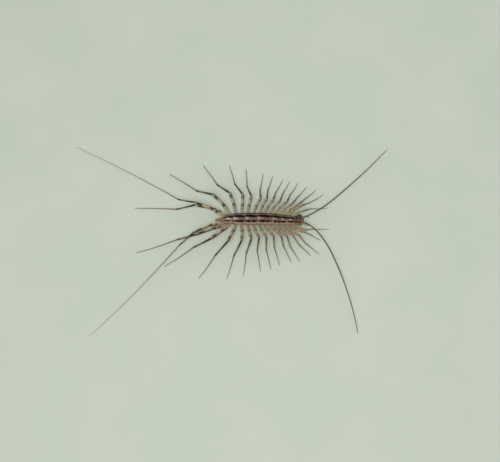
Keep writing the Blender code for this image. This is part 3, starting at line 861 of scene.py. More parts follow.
def new_tree(name, numbers):
    """A Geometry Nodes tree with a geometry, some numbers and a material as its inputs."""
    tree = bpy.data.node_groups.new(name, "GeometryNodeTree")
    face = tree.interface
    face.new_socket("Geometry", in_out="OUTPUT", socket_type="NodeSocketGeometry")
    for title, kind in {"Geometry": "Geometry", **numbers, "Material": "Material"}.items():
        face.new_socket(title, in_out="INPUT", socket_type="NodeSocket" + kind)
    layout = Layout(tree)
    source = tree.nodes.new("NodeGroupInput")
    return layout, {socket.name: Value(layout, socket) for socket in source.outputs}


def end_tree(layout, given, geometry):
    """Ends a tree with smooth shading, real copies and its material."""
    shown = layout.node("GeometryNodeSetShadeSmooth", {"Geometry": geometry})
    real = layout.node("GeometryNodeRealizeInstances", {"Geometry": shown})
    inputs = {"Geometry": real, "Material": given["Material"]}
    end = layout.tree.nodes.new("NodeGroupOutput")
    layout.feed(end.inputs[0], layout.node("GeometryNodeSetMaterial", inputs))
    return layout.tree


def ringed_limb_tree():
    """A limb of many short rings along a line of points that carry its thickness."""
    numbers = {"Step": "Float", "Groove depth": "Float", "Sides": "Int"}
    layout, given = new_tree("ringed_limb", numbers)
    curve = layout.node("GeometryNodeMeshToCurve", {"Mesh": given["Geometry"]})
    inputs = {"Curve": curve, "Length": given["Step"]}
    curve = layout.node("GeometryNodeResampleCurve", inputs, mode="LENGTH")
    phase = layout.math("FRACT", layout.named("ring_at"))
    groove = layout.math("POWER", abs(phase * 2.0 - 1.0), 5.0)
    curve = layout.store(curve, "groove", groove)
    swell = (phase - 0.5) * 0.10
    sunk = 1.0 - groove * given["Groove depth"]
    thick = layout.named("thick") * (sunk + swell)
    inputs = {"Resolution": given["Sides"], "Radius": 1.0}
    ring = layout.node("GeometryNodeCurvePrimitiveCircle", inputs)
    inputs = {"Curve": curve, "Profile Curve": ring, "Scale": thick, "Fill Caps": True}
    return end_tree(layout, given, layout.node("GeometryNodeCurveToMesh", inputs))


def bristle_tree():
    """A bent, tapered bristle at each point, aimed and sized as the point says."""
    numbers = {"Sides": "Int", "Segments": "Int", "Bend": "Float"}
    layout, given = new_tree("bristle_rows", numbers)
    counts = {"Vertices": given["Sides"], "Side Segments": given["Segments"]}
    inputs = {**counts, "Radius Top": 0.12, "Radius Bottom": 1.0, "Depth": 1.0}
    cone = layout.node("GeometryNodeMeshCone", inputs, fill_type="TRIANGLE_FAN")
    where = layout.node("GeometryNodeInputPosition")
    height = layout.node("ShaderNodeSeparateXYZ", {0: where}, out="Z")
    cone = layout.store(cone, "tip", height)
    cone = layout.store(cone, "spot", where, VECTOR)
    shift = layout.combined(height * height * given["Bend"])
    cone = layout.node("GeometryNodeSetPosition", {"Geometry": cone, "Offset": shift})
    align = "FunctionNodeAlignRotationToVector"
    aim = layout.node(align, {"Vector": layout.named("aim", VECTOR)}, axis="Z")
    inputs = {"Rotation": aim, "Vector": layout.named("lean", VECTOR)}
    aim = layout.node(align, inputs, axis="X", pivot_axis="Z")
    inputs = {"Points": given["Geometry"], "Instance": cone, "Rotation": aim}
    inputs["Scale"] = layout.named("size", VECTOR)
    spread = layout.node("GeometryNodeInstanceOnPoints", inputs)
    real = layout.node("GeometryNodeRealizeInstances", {"Geometry": spread})
    inputs = {0: layout.named("spot", VECTOR), 1: (SPOT_SIZE,) * 3}
    small = layout.node("ShaderNodeVectorMath", inputs, operation="MULTIPLY")
    tall = layout.node("ShaderNodeVectorMath", {0: small, 1: layout.named("root_spot", VECTOR)})
    return end_tree(layout, given, layout.store(real, "OFBake", tall, "FLOAT2", "CORNER"))


def facet_tree():
    """A ball of small domed six-sided facets, stretched and moved to its place."""
    numbers = {"Fineness": "Int", "Dome": "Float", "Radii": "Vector", "Place": "Vector"}
    layout, given = new_tree("eye_facets", numbers)
    inputs = {"Radius": 1.0, "Subdivisions": given["Fineness"]}
    ball = layout.node("GeometryNodeMeshIcoSphere", inputs)
    form = {"Mesh": layout.node("GeometryNodeDualMesh", {"Mesh": ball})}
    for rise, narrowing in ((given["Dome"], 0.72), (given["Dome"] * 0.4, 0.5)):
        raised = layout.node("GeometryNodeExtrudeMesh", {**form, "Offset Scale": rise})
        top = raised.beside("Top")
        inputs = {"Geometry": raised, "Selection": top, "Scale": narrowing}
        form = {"Mesh": layout.node("GeometryNodeScaleElements", inputs), "Selection": top}
    inputs = {"Geometry": form["Mesh"], "Translation": given["Place"], "Scale": given["Radii"]}
    return end_tree(layout, given, layout.node("GeometryNodeTransform", inputs))


def grown(name, mesh, tree, values):
    """Runs a tree on a mesh and returns the plain mesh that it makes."""
    guide = bpy.data.objects.new(name + "_guide", mesh)
    bpy.context.scene.collection.objects.link(guide)
    growth = guide.modifiers.new("growth", "NODES")
    growth.node_group = tree
    for item in tree.interface.items_tree:
        if item.in_out == "INPUT" and item.name in values:
            growth[item.identifier] = values[item.name]
    guide.update_tag()
    evaluated = guide.evaluated_get(bpy.context.evaluated_depsgraph_get())
    result = bpy.data.meshes.new_from_object(evaluated)
    result.name = name
    bpy.data.objects.remove(guide)
    return result


def line_mesh(name, points, values):
    """A line of points that carry values, in place."""
    mesh = bpy.data.meshes.new(name + "_line")
    count = len(points)
    mesh.from_pydata(in_metres(points).tolist(), [(i, i + 1) for i in range(count - 1)], [])
    carry(mesh, {key: np.broadcast_to(value, count) for key, value in values.items()})
    return mesh


class Bristles:
    """Collects the roots of bristles: where, which way, how large, and their spot on the map."""

    tree = skin = None

    def __init__(self, seed):
        self.chance = np.random.default_rng(seed)
        self.rows = []

    def add(self, points, aims, leans, size, spots):
        """Adds bristles of a named size, which varies a little from one to the next."""
        places = (points, aims, leans)
        points, aims, leans = (np.asarray(part, float).reshape(-1, 3) for part in places)
        count = len(points)
        length, radius = BRISTLE_SIZES[size]
        length = length * self.chance.uniform(0.75, 1.2, count)
        radius = radius * self.chance.uniform(0.85, 1.15, count)
        aims = aims + self.chance.normal(0.0, 0.08, (count, 3))
        spots = np.broadcast_to(np.asarray(spots, float).reshape(-1, 2), (count, 2))
        parts = (points, aims, leans, radius, radius, length, spots, np.zeros(count))
        self.rows.append(np.column_stack(parts))

    def finish(self, name, slot):
        """Grows the bristles as one piece."""
        rows = np.concatenate(self.rows)
        mesh = bpy.data.meshes.new(name + "_roots")
        mesh.from_pydata(in_metres(rows[:, :3]).tolist(), [], [])
        parts = {"aim": rows[:, 3:6], "lean": rows[:, 6:9], "size": rows[:, 9:12] * MM}
        carry(mesh, {**parts, "root_spot": rows[:, 12:]}, VECTOR, "vector")
        values = {**BRISTLE_FORM, "Material": self.skin}
        return place_piece(name, grown(name, mesh, self.tree, values))


def spots_at(column, rows):
    """Places on the map of bristles: one column, and a row for each bristle."""
    return np.stack((np.full(len(rows), column), rows), axis=1)


def hair_limb(bristles, path, radii, side, picks, size, cells, down=False):
    """Fine bristles round a limb at the picked points, leaning towards its tip."""
    along, forward, rise = (axis[picks] for axis in frames(path, side))
    turns = bristles.chance.uniform(0, 2 * math.pi, len(picks))
    if down:
        turns[::2] = -math.pi / 2 + bristles.chance.normal(0, 0.5, len(turns[::2]))
    ways = np.cos(turns)[:, None] * forward + np.sin(turns)[:, None] * rise
    roots = path[picks] + ways * (np.asarray(radii)[picks] * 0.9)[:, None]
    clear = roots[:, 2] + ways[:, 2] * 0.10 > 0.03
    aims = along * 0.92 + ways * 0.48
    bristles.add(roots[clear], aims[clear], along[clear], size, np.asarray(cells)[clear])


def ring_points(path, axes, radii, sides, factor=1.0, squash=1.0):
    """Rings of points round a path."""
    _, forward, rise = axes
    turns = 2 * math.pi * np.arange(sides) / sides
    flat = np.cos(turns)[None, :, None] * forward[:, None, :]
    tall = np.sin(turns)[None, :, None] * rise[:, None, :] * squash
    reach = np.broadcast_to(factor, (len(path), sides))[:, :, None]
    return path[:, None, :] + radii[:, None, None] * reach * (flat + tall)


def facing(turns, angle, width):
    """1 where the skin of a leg faces an angle, easing to 0 round it."""
    return bump_at(np.abs((turns - angle + 180) % 360 - 180), 0.0, width)


def keel_rows(turns):
    """1 on the keels along a leg part, easing to 0 between them."""
    return facing(turns[:, None], np.array(KEELS), 9.0).sum(axis=1)


def leg_tone(kind, share, turns, pair, side):
    """How dark a leg is from 0, pale, to 1, near black."""
    strength = at(pair, LEG_STRENGTHS)
    front, back = facing(turns, 25, 42.0), facing(turns, 180, 34.0)
    behind, under = facing(turns, 150, 60.0), facing(turns, 270, 50.0)
    # Front and back edges: the dark bands are drawn darker there, partly the leg's own colour and
    # partly painted shade along its outline.
    edges = np.maximum(front, back)
    if kind == "root":
        return 0.32 + 0.08 * front
    if kind == "thigh_one":
        patch = eased(bump_at(share, 0.91, 0.15), 0.12, 0.80) * (0.42 + 0.8 * edges)
        smudge = 0.30 * bump_at(share, 0.50, 0.09) * front
        if pair > 13:
            smudge = 0.52 * bump_at(share, 0.46, 0.11) * (0.6 + 0.6 * edges)
        line = (0.12 + 0.24 * strength) * front * eased(share, 0.1, 0.5)
        return 0.32 - 0.07 * strength - 0.06 * under + strength * (0.78 * patch + smudge) + line
    if kind == "thigh_two":
        start = 0.45 * bump_at(share, 0.0, 0.09) * (0.5 + 0.6 * front)
        patch = eased(bump_at(share, 0.68, 0.17), 0.12, 0.80) * (0.50 + 0.7 * edges)
        line = (0.14 + 0.30 * strength) * front
        knee = (0.10 + 0.14 * strength) * bump_at(share, 1.0, 0.13) * (1.0 - 0.8 * behind)
        plain = 0.34 - 0.07 * strength - 0.04 * under
        return plain + strength * (start + 0.84 * patch) + line + knee
    if kind == "shin":
        near = 1.0 if side > 0 else at(pair, ((1, 0.30), (8, 0.50), (12, 1.0)))
        start = bump_at(share, 0.0, 0.34)
        end = bump_at(share, 0.92, 0.10)
        plain = at(pair, SHIN_TONES) - 0.10 * (1 - near) + 0.06 * front
        return plain + at(pair, SHIN_DARKS) * near * start + 0.30 * strength * end
    return 0.62 - (0.30 if pair == PAIRS else 0.12) * share


def arched(shares, length, kind):
    """How far a thigh bows up, or another part down, at shares along it."""
    return LEG_ARCH * length * 4 * shares * (1 - shares) * (0.5 if "thigh" in kind else -0.25)


def leg_part(shell, bristles, kind, start, end, thick, profile, side, pair, keel, spot):
    """One hard part of a leg between two joints, with rows of bristles along its keels."""
    start, end = np.array(start), np.array(end)
    length = float(np.linalg.norm(end - start))
    arc = np.linspace(0.0, math.pi / 2, 15)
    bulge = 1.0 + (BULGES[kind] * np.sin(arc) - 0.07) * thick / length
    wrinkles = 1 + 0.020 * np.cos(arc * 16)
    skin = np.stack((bulge, profile[-1][1] * 0.92 * np.cos(arc) * wrinkles), axis=1)
    keys = np.concatenate((np.array(profile), skin))
    steps = np.abs(np.diff(keys, axis=0))
    travel = np.concatenate(([0.0], np.cumsum(steps[:, 0] * length + steps[:, 1] * thick)))
    count = max(int(length / 0.20), 8) + 8
    fine = np.unique(np.concatenate((travel, np.linspace(0.0, travel[-1], count))))
    shares = np.interp(fine, travel, keys[:, 0])
    widths = np.maximum(np.interp(fine, travel, keys[:, 1]), 0.02)
    path = start + (end - start) * shares[:, None]
    path[:, 2] += arched(shares, length, kind)
    axis = (end - start) / length
    straight = frames(np.stack((start, start + axis)), side)
    axes = [np.repeat(part[:1], len(path), axis=0) for part in straight]
    turns = 360.0 * np.arange(SIDES_ROUND) / SIDES_ROUND
    round_it = np.radians(turns)
    keels = keel_rows(turns)[None, :] * eased(shares, 0.03, 0.15)[:, None]
    keels = keels * eased(1.0 - shares, 0.01, 0.12)[:, None]
    factor = 1.0 + keel * (keels - 0.25 * keels.max(axis=1)[:, None])
    rim_at = travel[len(profile) - 1]
    inner = fine > rim_at + 1e-6
    waves = np.sin(np.radians(3 * turns) + 30 * fine[:, None])
    waves = waves + np.sin(np.radians(2 * turns) - 47 * fine[:, None])
    factor = factor + 0.016 * waves * inner[:, None]
    rings = ring_points(path, axes, widths * thick, SIDES_ROUND, factor)
    slant = eased(shares, 0.80, 1.0)[:, None] * np.sin(round_it)[None, :] * widths[:, None]
    lobes = np.where(inner, 0.0, eased(shares, 1.0 - 0.5 * thick / length, 1.0))[:, None]
    lobes = lobes * np.cos(np.radians(3 * turns + 40.0 * pair))[None, :]
    rings += axis * (thick * (0.20 * slant + 0.07 * lobes))[:, :, None]
    tone = leg_tone(kind, np.minimum(shares, 1.0)[:, None], turns[None, :], pair, side)
    tone = tone + 0.08 * keels
    soft = np.where(inner, 1.0, 0.6 * bump_at(shares * length, 0.0, 0.04))
    waves = 0.5 - 0.5 * np.cos((fine - rim_at) / (travel[-1] - rim_at) * 8 * math.pi)
    creases = np.maximum(np.where(inner, waves, 0.0), bump_at(fine, rim_at + 0.02, 0.025))
    warm = 0.0
    if side < 0 and kind != "shin":
        warm = at(pair, ((1, 0.9), (6, 0.7), (10, 0.2)))
    if side < 0 and kind in ("root", "thigh_one"):
        near_root = 1.0 if kind == "root" else 1.0 - eased(shares, 0.15, 0.75)[:, None]
        warm = np.maximum(warm, near_root)
        tone = tone + 0.07 * near_root
    radial = widths[:, None] * thick
    shell.add(rings, {
        "tone": tone,
        "soft": soft[:, None],
        "warm": warm,
        "groove": creases[:, None],
        "run": pair * 7.0 + spot[1] * 40 + shares[:, None] * length,
        "flat": radial * np.cos(round_it),
        "tall": radial * np.sin(round_it) + 5.0 * side,
    })
    along, forward, rise = (part[0] for part in axes)
    for k, angle in enumerate(KEELS):
        way = math.cos(math.radians(angle)) * forward + math.sin(math.radians(angle)) * rise
        spaced = np.arange(0.16, 0.97, 0.24 / length)
        count = len(spaced)
        spaced = spaced + bristles.chance.uniform(-0.3, 0.3, count) * 0.24 / length
        reach = np.interp(spaced, *np.array(profile).T) * thick * (1 + keel * 0.6)
        roots = start + (end - start) * spaced[:, None] + way * reach[:, None]
        roots[:, 2] += arched(spaced, length, kind)
        aims = np.tile(along * 0.75 + way * 0.75, (count, 1))
        column = spot[0] + 0.009 * k
        cell = spots_at(column, spot[1] + 0.05 * spaced)
        bristles.add(roots - way * 0.02, aims, np.tile(along, (count, 1)), "stiff", cell)
        if angle in SPUR_KEELS:
            root = end - along * 0.05 + way * (thick * profile[-1][1] * 1.04)
            spur = "spur" if kind != "shin" else "ankle_spur"
            bristles.add(root, along * 0.9 + way * 0.42, along, spur, (column, spot[1] + 0.055))


def leg_foot(name, pair, side, joints, tree, material, bristles, spot):
    """The long foot of many short rings, and the way that its end points."""
    ankle, tip = joints[4], joints[5]
    start_radius = max(ANKLE_RADIUS, at(pair, ROOT_RADII) * 0.43)
    length = (tip - ankle).length
    long_foot = length > 20
    shares = np.linspace(0.0, 1.0, max(int(length / 0.35), 12))
    tip_radius, power = (0.06, 0.6) if pair in (1, PAIRS) else (TIP_RADIUS, 0.9)
    taper = start_radius + (tip_radius - start_radius) * shares**power
    points = [foot_point(ankle, tip, side, float(s), float(r)) for s, r in zip(shares, taper)]
    back = (points[0] - points[1]).normalized()
    path, places = smooth_path([points[0] + back * 0.12] + points, 0.06)
    share = places / places[-1]
    radii = start_radius + (tip_radius - start_radius) * share**power
    radii = radii * (0.72 + 0.28 * eased(places, 0.0, 0.25))
    radii = radii * (1.0 - 0.5 * eased(share, 0.985, 1.0))
    hinge = 1.0 - 0.16 * bump_at(share, 0.28 if long_foot else 0.40, 0.10 / length)
    article = ARTICLE * (0.8 + 0.6 * share) * (1.25 if long_foot else 1.0)
    line = line_mesh(name, path, {
        "thick": radii * hinge * MM,
        "ring_at": np.cumsum(np.gradient(places) / article),
        "tone": leg_tone("foot", share, 0.0, pair, side),
        "soft": 0.0,
        "warm": 0.5,
        "run": pair * 7.0 + spot[1] * 40 + places,
        "flat": 0.0,
        "tall": 0.0,
    })
    form = {"Step": 0.055 * MM, "Groove depth": 0.17, "Sides": 10, "Material": material}
    mesh = grown(name, line, tree, form)
    picks = np.arange(4, len(path) - 2, 6 if long_foot else 3)
    cells = spots_at(spot[0] + 0.02, spot[1] + 0.01 * share[picks])
    hair_limb(bristles, path, radii, side, picks, "foot", cells, down=True)
    return mesh, path[-1], path[-1] - path[-3]


def leg_claw(shell, point, way):
    """The small curved claw at the end of a foot."""
    way = way / np.linalg.norm(way)
    flat = np.array((way[0], way[1], 0.0)) / max(np.linalg.norm(way[:2]), 1e-6)
    shares = np.linspace(0.0, 1.0, 9)
    path = point + flat * (0.24 * shares)[:, None]
    path[:, 2] = np.maximum(point[2] * (1 - 0.75 * shares**1.6), 0.018)
    radii = 0.045 * (1 - shares) ** 0.7 + 0.010
    rings = ring_points(path, frames(path, 1), radii, 8)
    shell.add(rings, {"tone": 0.95, **PLAIN_VALUES})


def make_legs(ringed, leg_skin):
    """Fifteen pairs of legs, and the bristles of each side."""
    for side_name, side in SIDES.items():
        bristles = Bristles(11 if side > 0 else 12)
        for pair in range(1, PAIRS + 1):
            name = f"leg_{side_name}_{pair:02d}"
            joints = leg_joints(pair, side)
            root, out, hip, knee, ankle, _ = joints
            thick = at(pair, ROOT_RADII)
            swollen = thick * (1.14 if pair < 14 else 0.96)
            column, base = (pair - 0.5) / PAIRS * 0.94 + 0.01, 0.05 if side > 0 else 0.55
            bend = (hip - root).normalized()
            inner, collar = root - out * 1.25 + UP * 0.22, root + bend * 0.42
            shell = Shell(LEG_VALUES)
            for kind, start, end, size, profile, keel, row in (
                ("root", inner, root + out * 0.10, swollen, COXA, 0.0, 0),
                ("root", root - out * 0.10, collar, thick * 0.88, HIP_RING, 0.0, 0),
                ("thigh_one", root + bend * 0.30, hip, thick, THIGH_ONE, 0.15, 1),
                ("thigh_two", hip, knee, thick, THIGH_TWO, 0.17, 2),
                ("shin", knee, ankle, thick, SHIN, 0.14, 3),
            ):
                spot = (column, base + 0.07 * row)
                leg_part(shell, bristles, kind, start, end, size, profile, side, pair, keel, spot)
            spot = (column, base + 0.07 * 4)
            foot, last, way = leg_foot(name, pair, side, joints, ringed, leg_skin, bristles, spot)
            leg_claw(shell, last, way)
            hard = shell.finish(name + "_shell", leg_skin, "leg")
            joined = join_meshes(name + "_shell", [hard.data, foot])
            hard.data = smooth_skin(joined, leg_skin)
            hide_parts(name)
        bristles.finish(f"bristles_{side_name}", "leg")


def plate_grid(index):
    """Surface of one back plate: its points, and where each lies on it."""
    front = PLATE_EDGES[index] + (PLATE_TUCK - PLATE_OVERLAP if index else 0.20)
    rear = PLATE_EDGES[index + 1] - (PLATE_OVERLAP if index < 7 else 0.0)
    length = front - rear
    share = np.linspace(0.0, 1.0, max(int(length / 0.09), 16))[:, None]
    spread = np.linspace(-1.0, 1.0, 89)[None, :]
    turn = PLATE_REACH * (0.62 * spread + 0.38 * spread**3)
    notch = PLATE_NOTCH * share**3 * bump_at(turn, 0.0, 0.22)
    corner = 0.18 * length * share**2 * np.abs(turn / PLATE_REACH) ** 5
    nose = 0.25 * (1 - share) ** 2 * np.abs(turn / PLATE_REACH) ** 4
    place = front - length * share + notch + corner - nose
    half, top, _ = trunk_size(place)
    lift = PLATE_RISE * share**1.4
    edge = top - 1.15
    across = (half + 0.3 * lift) * np.sin(turn)
    height = edge + (top - edge) * np.cos(turn) ** 0.8 + lift - 0.08
    points = np.stack((place, midline(place) + across, height), axis=-1)
    slope_along = np.gradient(points, axis=0)
    slope_across = np.gradient(points, axis=1)
    normal = np.cross(slope_across, slope_along)
    normal /= np.linalg.norm(normal, axis=2)[:, :, None]
    normal *= np.sign(normal[:, :, 2:].mean())
    return points, normal, share, turn, across / half, length


def back_plate(index, material, bristles):
    """One arched back plate with a rolled rim, a breathing hole, the mask of its pale spot and
    painted glint, and a fringe of bristles.
    """
    points, normal, share, turn, across, length = plate_grid(index)
    from_rear = (1 - share) * length
    from_side = (PLATE_REACH - np.abs(turn)) * trunk_size(points[:, :, 0])[0]
    rim = bump_at(from_rear, 0.07, 0.06) * 0.045 + bump_at(from_side, 0.07, 0.06) * 0.05
    furrow = -0.022 * bump_at(np.abs(turn), math.radians(56), 0.10) * np.sin(math.pi * share)
    swell = 0.030 * bump_at(np.abs(turn), math.radians(20), 0.22) * np.sin(math.pi * share)
    relief = rim + furrow + swell
    pore_spot_and_glint = np.zeros_like(relief)
    if index < PORED_PLATES:
        middle = points[-1, points.shape[1] // 2, 0]
        ahead = (points[:, :, 0] - middle - 0.28) / 0.24
        aside = (points[:, :, 1] - midline(points[:, :, 0])) / 0.115
        reach = np.sqrt(ahead**2 + aside**2)
        relief = relief + 0.055 * bump_at(reach, 1.15, 0.42) - 0.075 * bump_at(reach, 0.0, 0.62)
        pore_spot_and_glint = bump_at(reach, 0.9, 1.05) * (1 - 0.9 * bump_at(reach, 0.0, 0.45))
    top = points + normal * relief[:, :, None]
    thin = 1 - 0.65 * np.maximum(bump_at(from_rear, 0.0, 0.10), bump_at(from_side, 0.0, 0.12))
    under = points - normal * (PLATE_THICKNESS * thin)[:, :, None]
    half = trunk_size(points[:, :, 0])[0]
    lane_place = STRIPE_PLACE * (half / 2.1) ** 1.3
    lane = (across * half - STRIPE_SHIFT) / lane_place
    warm = 0.0 if index < 7 else 0.60 * share**2
    # Painted glint: a pale haze across the middle band near the plate's rear.
    painted_glint_haze = PAINTED_GLINT_HAZE[index] * bump_at(lane, 0.0, 0.75) * bump_at(from_rear, 0.9, 1.0)
    pore_spot_and_glint = PORE_SPOT_GLINT[index] * pore_spot_and_glint + painted_glint_haze
    shell = Shell(PLATE_VALUES)
    shell.sheet(top, under, {
        "across": across, "lane": lane, "along": share,
        "pore_spot_and_glint": pore_spot_and_glint, "warm": warm, "run": points[:, :, 0],
    })
    plate = shell.finish(f"back_plate_{index + 1}", material, "shell", crease=50)
    chance = bristles.chance
    rows, columns = top.shape[:2]
    for j in range(3, columns - 3, 3):
        if abs(turn[0, j]) < 0.16:
            continue
        cell = (0.1 * index + 0.02 + 0.08 * j / columns, 0.92)
        bristles.add(top[-1, j], normal[-1, j] * 0.5 + BEHIND * 0.8, BEHIND, "stiff", cell)
    for i in range(3, rows - 2, 3):
        for j, way in ((0, -1), (columns - 1, 1)):
            cell = (0.1 * index + 0.02, 0.1 + 0.7 * i / rows)
            sideways = np.array((-0.45, way * 0.9, 0.15))
            bristles.add(top[i, j], sideways, BEHIND, "stiff", cell)
    for _ in range(int(34 * length)):
        i, j = chance.integers(2, rows - 3), chance.integers(4, columns - 4)
        cell = (0.1 * index + 0.02 + 0.08 * j / columns, 0.05 + 0.85 * i / rows)
        aim = normal[i, j] * 0.55 + BEHIND * 0.8
        bristles.add(top[i, j] - normal[i, j] * 0.01, aim, BEHIND, "plate", cell)
    return plate


def trunk_surface(places, turns):
    """The body under the plates, with belly plates, folded flanks and hip swellings."""
    place, turn = places[:, None], turns[None, :]
    half, top, under = trunk_size(place)
    centre = (top + under) / 2
    flat = np.sign(np.sin(turn)) * np.abs(np.sin(turn)) ** 0.85
    rise = np.sign(np.cos(turn)) * np.abs(np.cos(turn)) ** 0.8
    reach = np.where(rise > 0, top - 0.20 - centre, centre - under)
    pairs = np.array([at(pair, ROOT_PLACES) for pair in range(PAIRS, 0, -1)])
    order = np.interp(place, pairs, np.arange(PAIRS, 0, -1.0))
    order = np.where(place > pairs[-1], 1 - (place - pairs[-1]) / 1.2, order)
    order = np.where(place < pairs[0], PAIRS + (pairs[0] - place) / 1.2, order)
    phase = np.abs((order + 0.5) % 1.0)
    between = np.minimum(phase, 1 - phase)
    degrees = np.abs(np.degrees(turn))
    belly = eased(degrees, 122.0, 130.0)
    gap_line = bump_at(between, 0.0, 0.05 + 0.03 * bump_at(degrees, 128.0, 10.0))
    margin_line = bump_at(degrees, 124.0 + 5.0 * np.cos(2 * math.pi * order), 3.5)
    keeled = -0.12 * gap_line * belly + 0.05 * eased(between, 0.05, 0.30) * belly
    margin = -0.09 * margin_line
    furrow = -0.030 * bump_at(degrees, 180.0, 5.0) * belly * eased(between, 0.10, 0.25)
    flank = bump_at(degrees, 92.0, 26.0)
    folds = 0.028 * np.sin(2 * math.pi * place / 0.42 + 2.0 * np.sin(turn * 5)) * flank
    pleat = -0.06 * bump_at(degrees, 100.0, 3.5) * flank
    pleat = pleat - 0.04 * bump_at(degrees, 78.0, 3.0) * flank
    hips = 0.26 * bump_at(between, 0.5, 0.24) * bump_at(degrees, 101.0, 15.0)
    ends = (eased(place, -9.75, -9.2) * 0.25 + 0.75) * (1.0 - 0.45 * eased(place, 15.05, 15.85))
    level = centre + reach * ends * rise
    collars = np.zeros(level.shape)
    for pair in range(1, PAIRS + 1):
        size = 1.10 * at(pair, ROOT_RADII)
        away = np.hypot(place - at(pair, ROOT_PLACES), level - at(pair, ROOT_HEIGHTS)) / size
        swell = 0.13 * bump_at(away, 1.22, 0.20) + 0.05 * bump_at(away, 1.62, 0.14)
        collars = np.maximum(collars, swell)
    collars = collars * (degrees > 60)
    swell = keeled + margin + furrow + folds + pleat + hips + collars
    wide = half * 0.88 * ends
    y = midline(place) + (wide + swell) * flat
    z = centre + (reach * ends + swell * np.where(rise < 0, 1.0, 0.3)) * rise
    points = np.stack((np.broadcast_to(place, y.shape), y, z), axis=-1)
    hard = np.maximum(belly * (1 - gap_line), bump_at(between, 0.5, 0.2) * flank * 0.7)
    fold = np.maximum(gap_line * belly, 0.8 * margin_line * (1 - 6 * collars))
    hard = np.maximum(hard, 5.0 * collars)
    fold = np.maximum(fold, 0.7 * bump_at(degrees, 100.0, 3.0) * flank)
    return points, hard, fold


def make_trunk(material, plate_material):
    """The trunk's one skin under its eight back plates."""
    places = np.arange(-9.75, 15.85, 0.085)
    turns = 2 * math.pi * np.arange(112) / 112 - math.pi
    points, hard, fold = trunk_surface(places, turns)
    shell = Shell(("hard", "fold"))
    shell.add(points, {"hard": hard, "fold": fold})
    skin = shell.finish("trunk_skin", material, "shell", crease=80)
    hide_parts("trunk_front", "trunk_middle", "trunk_rear")
    bristles = Bristles(21)
    for index in range(len(PLATE_EDGES) - 1):
        back_plate(index, plate_material, bristles)
    bristles.finish("bristles_back", "shell")
    bristles = Bristles(22)
    for _ in range(900):
        i = bristles.chance.integers(6, len(places) - 12)
        j = bristles.chance.integers(0, len(turns))
        if abs(turns[j]) < math.radians(84) or fold[i, j] > 0.3:
            continue
        way = np.array((0.0, math.sin(turns[j]), math.cos(turns[j])))
        cell = (0.5 + turns[j] / 7.0, 0.05 + 0.9 * i / len(places))
        bristles.add(points[i, j] - way * 0.02, way * 0.6 + BEHIND * 0.7, BEHIND, "belly", cell)
    bristles.finish("bristles_belly", "shell")


def make_tail(material):
    """The last small plate, its grooves and bristles, and the two valves under it."""
    shell = Shell(PLATE_VALUES)
    rows, sides = 64, 40
    shares = 1 - (1 - np.linspace(0.0, 1.0, rows)) ** 1.6
    blunt = np.sqrt(np.clip((1.0 - shares) / 0.22, 0.004, 1.0))
    waist = 1 - 0.07 * bump_at(shares, 0.34, 0.030) - 0.05 * bump_at(shares, 0.70, 0.022)
    width = np.interp(shares, (0.0, 0.15, 0.45, 0.7, 1.0), (0.85, 0.98, 1.0, 0.92, 0.74))
    width = 0.62 * width * blunt * waist
    tall = 0.42 * np.interp(shares, (0.0, 0.2, 0.6, 1.0), (0.85, 1.0, 0.95, 0.7)) * blunt * waist
    x = TAIL_START + 0.45 - 2.5 * shares
    path = np.stack((x, midline(x), TAIL_HEIGHT + 0.06 - 0.15 * shares**2), axis=1)
    turns = 2 * math.pi * np.arange(sides) / sides
    ring = np.stack((np.zeros(sides), np.cos(turns), np.sin(turns)), axis=1)
    rim = 1 + 0.05 * bump_at(np.abs(np.degrees(np.arcsin(np.sin(turns)))), 8.0, 9.0)
    rim = rim - 0.07 * bump_at(np.degrees(turns), 90.0, 9.0)[None, :] * eased(shares, 0.36, 0.55)[
        :, None
    ]
    size = np.stack((np.ones(rows), width, tall), axis=1)
    rings = path[:, None, :] + ring[None] * rim[:, :, None] * size[:, None, :]
    across = np.broadcast_to(np.cos(turns)[None] * 0.8, (rows, sides))
    grooves = bump_at(shares, 0.34, 0.035) + bump_at(shares, 0.70, 0.03)
    shell.add(rings, {
        "across": across,
        "lane": across * 2.2,
        "along": 0.5 + 0.48 * np.clip(grooves, 0.0, 1.0)[:, None],
        "pore_spot_and_glint": 0.0,
        "warm": 1.0 - 0.5 * np.clip(grooves, 0.0, 1.0)[:, None],
        "run": 0.0,
    })
    for side in (1, -1):
        s = np.linspace(0.0, 1.0, 18)
        aside = midline(-11.3) + side * (0.20 + 0.04 * s)
        valve = np.stack((-11.0 - 1.0 * s, aside, 2.60 - 0.16 * s), axis=1)
        radii = np.interp(s, (0.0, 0.3, 0.8, 1.0), (0.12, 0.17, 0.10, 0.02))
        shape = {"across": 0.2, "lane": 0.5, "along": 0.5, "pore_spot_and_glint": 0.0, "warm": 1.0, "run": 0.0}
        shell.add(ring_points(valve, frames(valve, 1), radii, 14), shape)
    tail = shell.finish("tail_plate", material, "shell")
    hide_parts("tail")
    bristles = Bristles(61)
    for _ in range(110):
        i, j = bristles.chance.integers(14, rows - 3), bristles.chance.integers(0, sides)
        way = ring[j] + np.array((-0.6, 0.0, 0.0))
        cell = (0.1 + 0.8 * j / sides, 0.1 + 0.8 * i / rows)
        bristles.add(rings[i, j] - ring[j] * 0.01, way, BEHIND, "tail", cell)
    bristles.finish("bristles_tail", "shell")


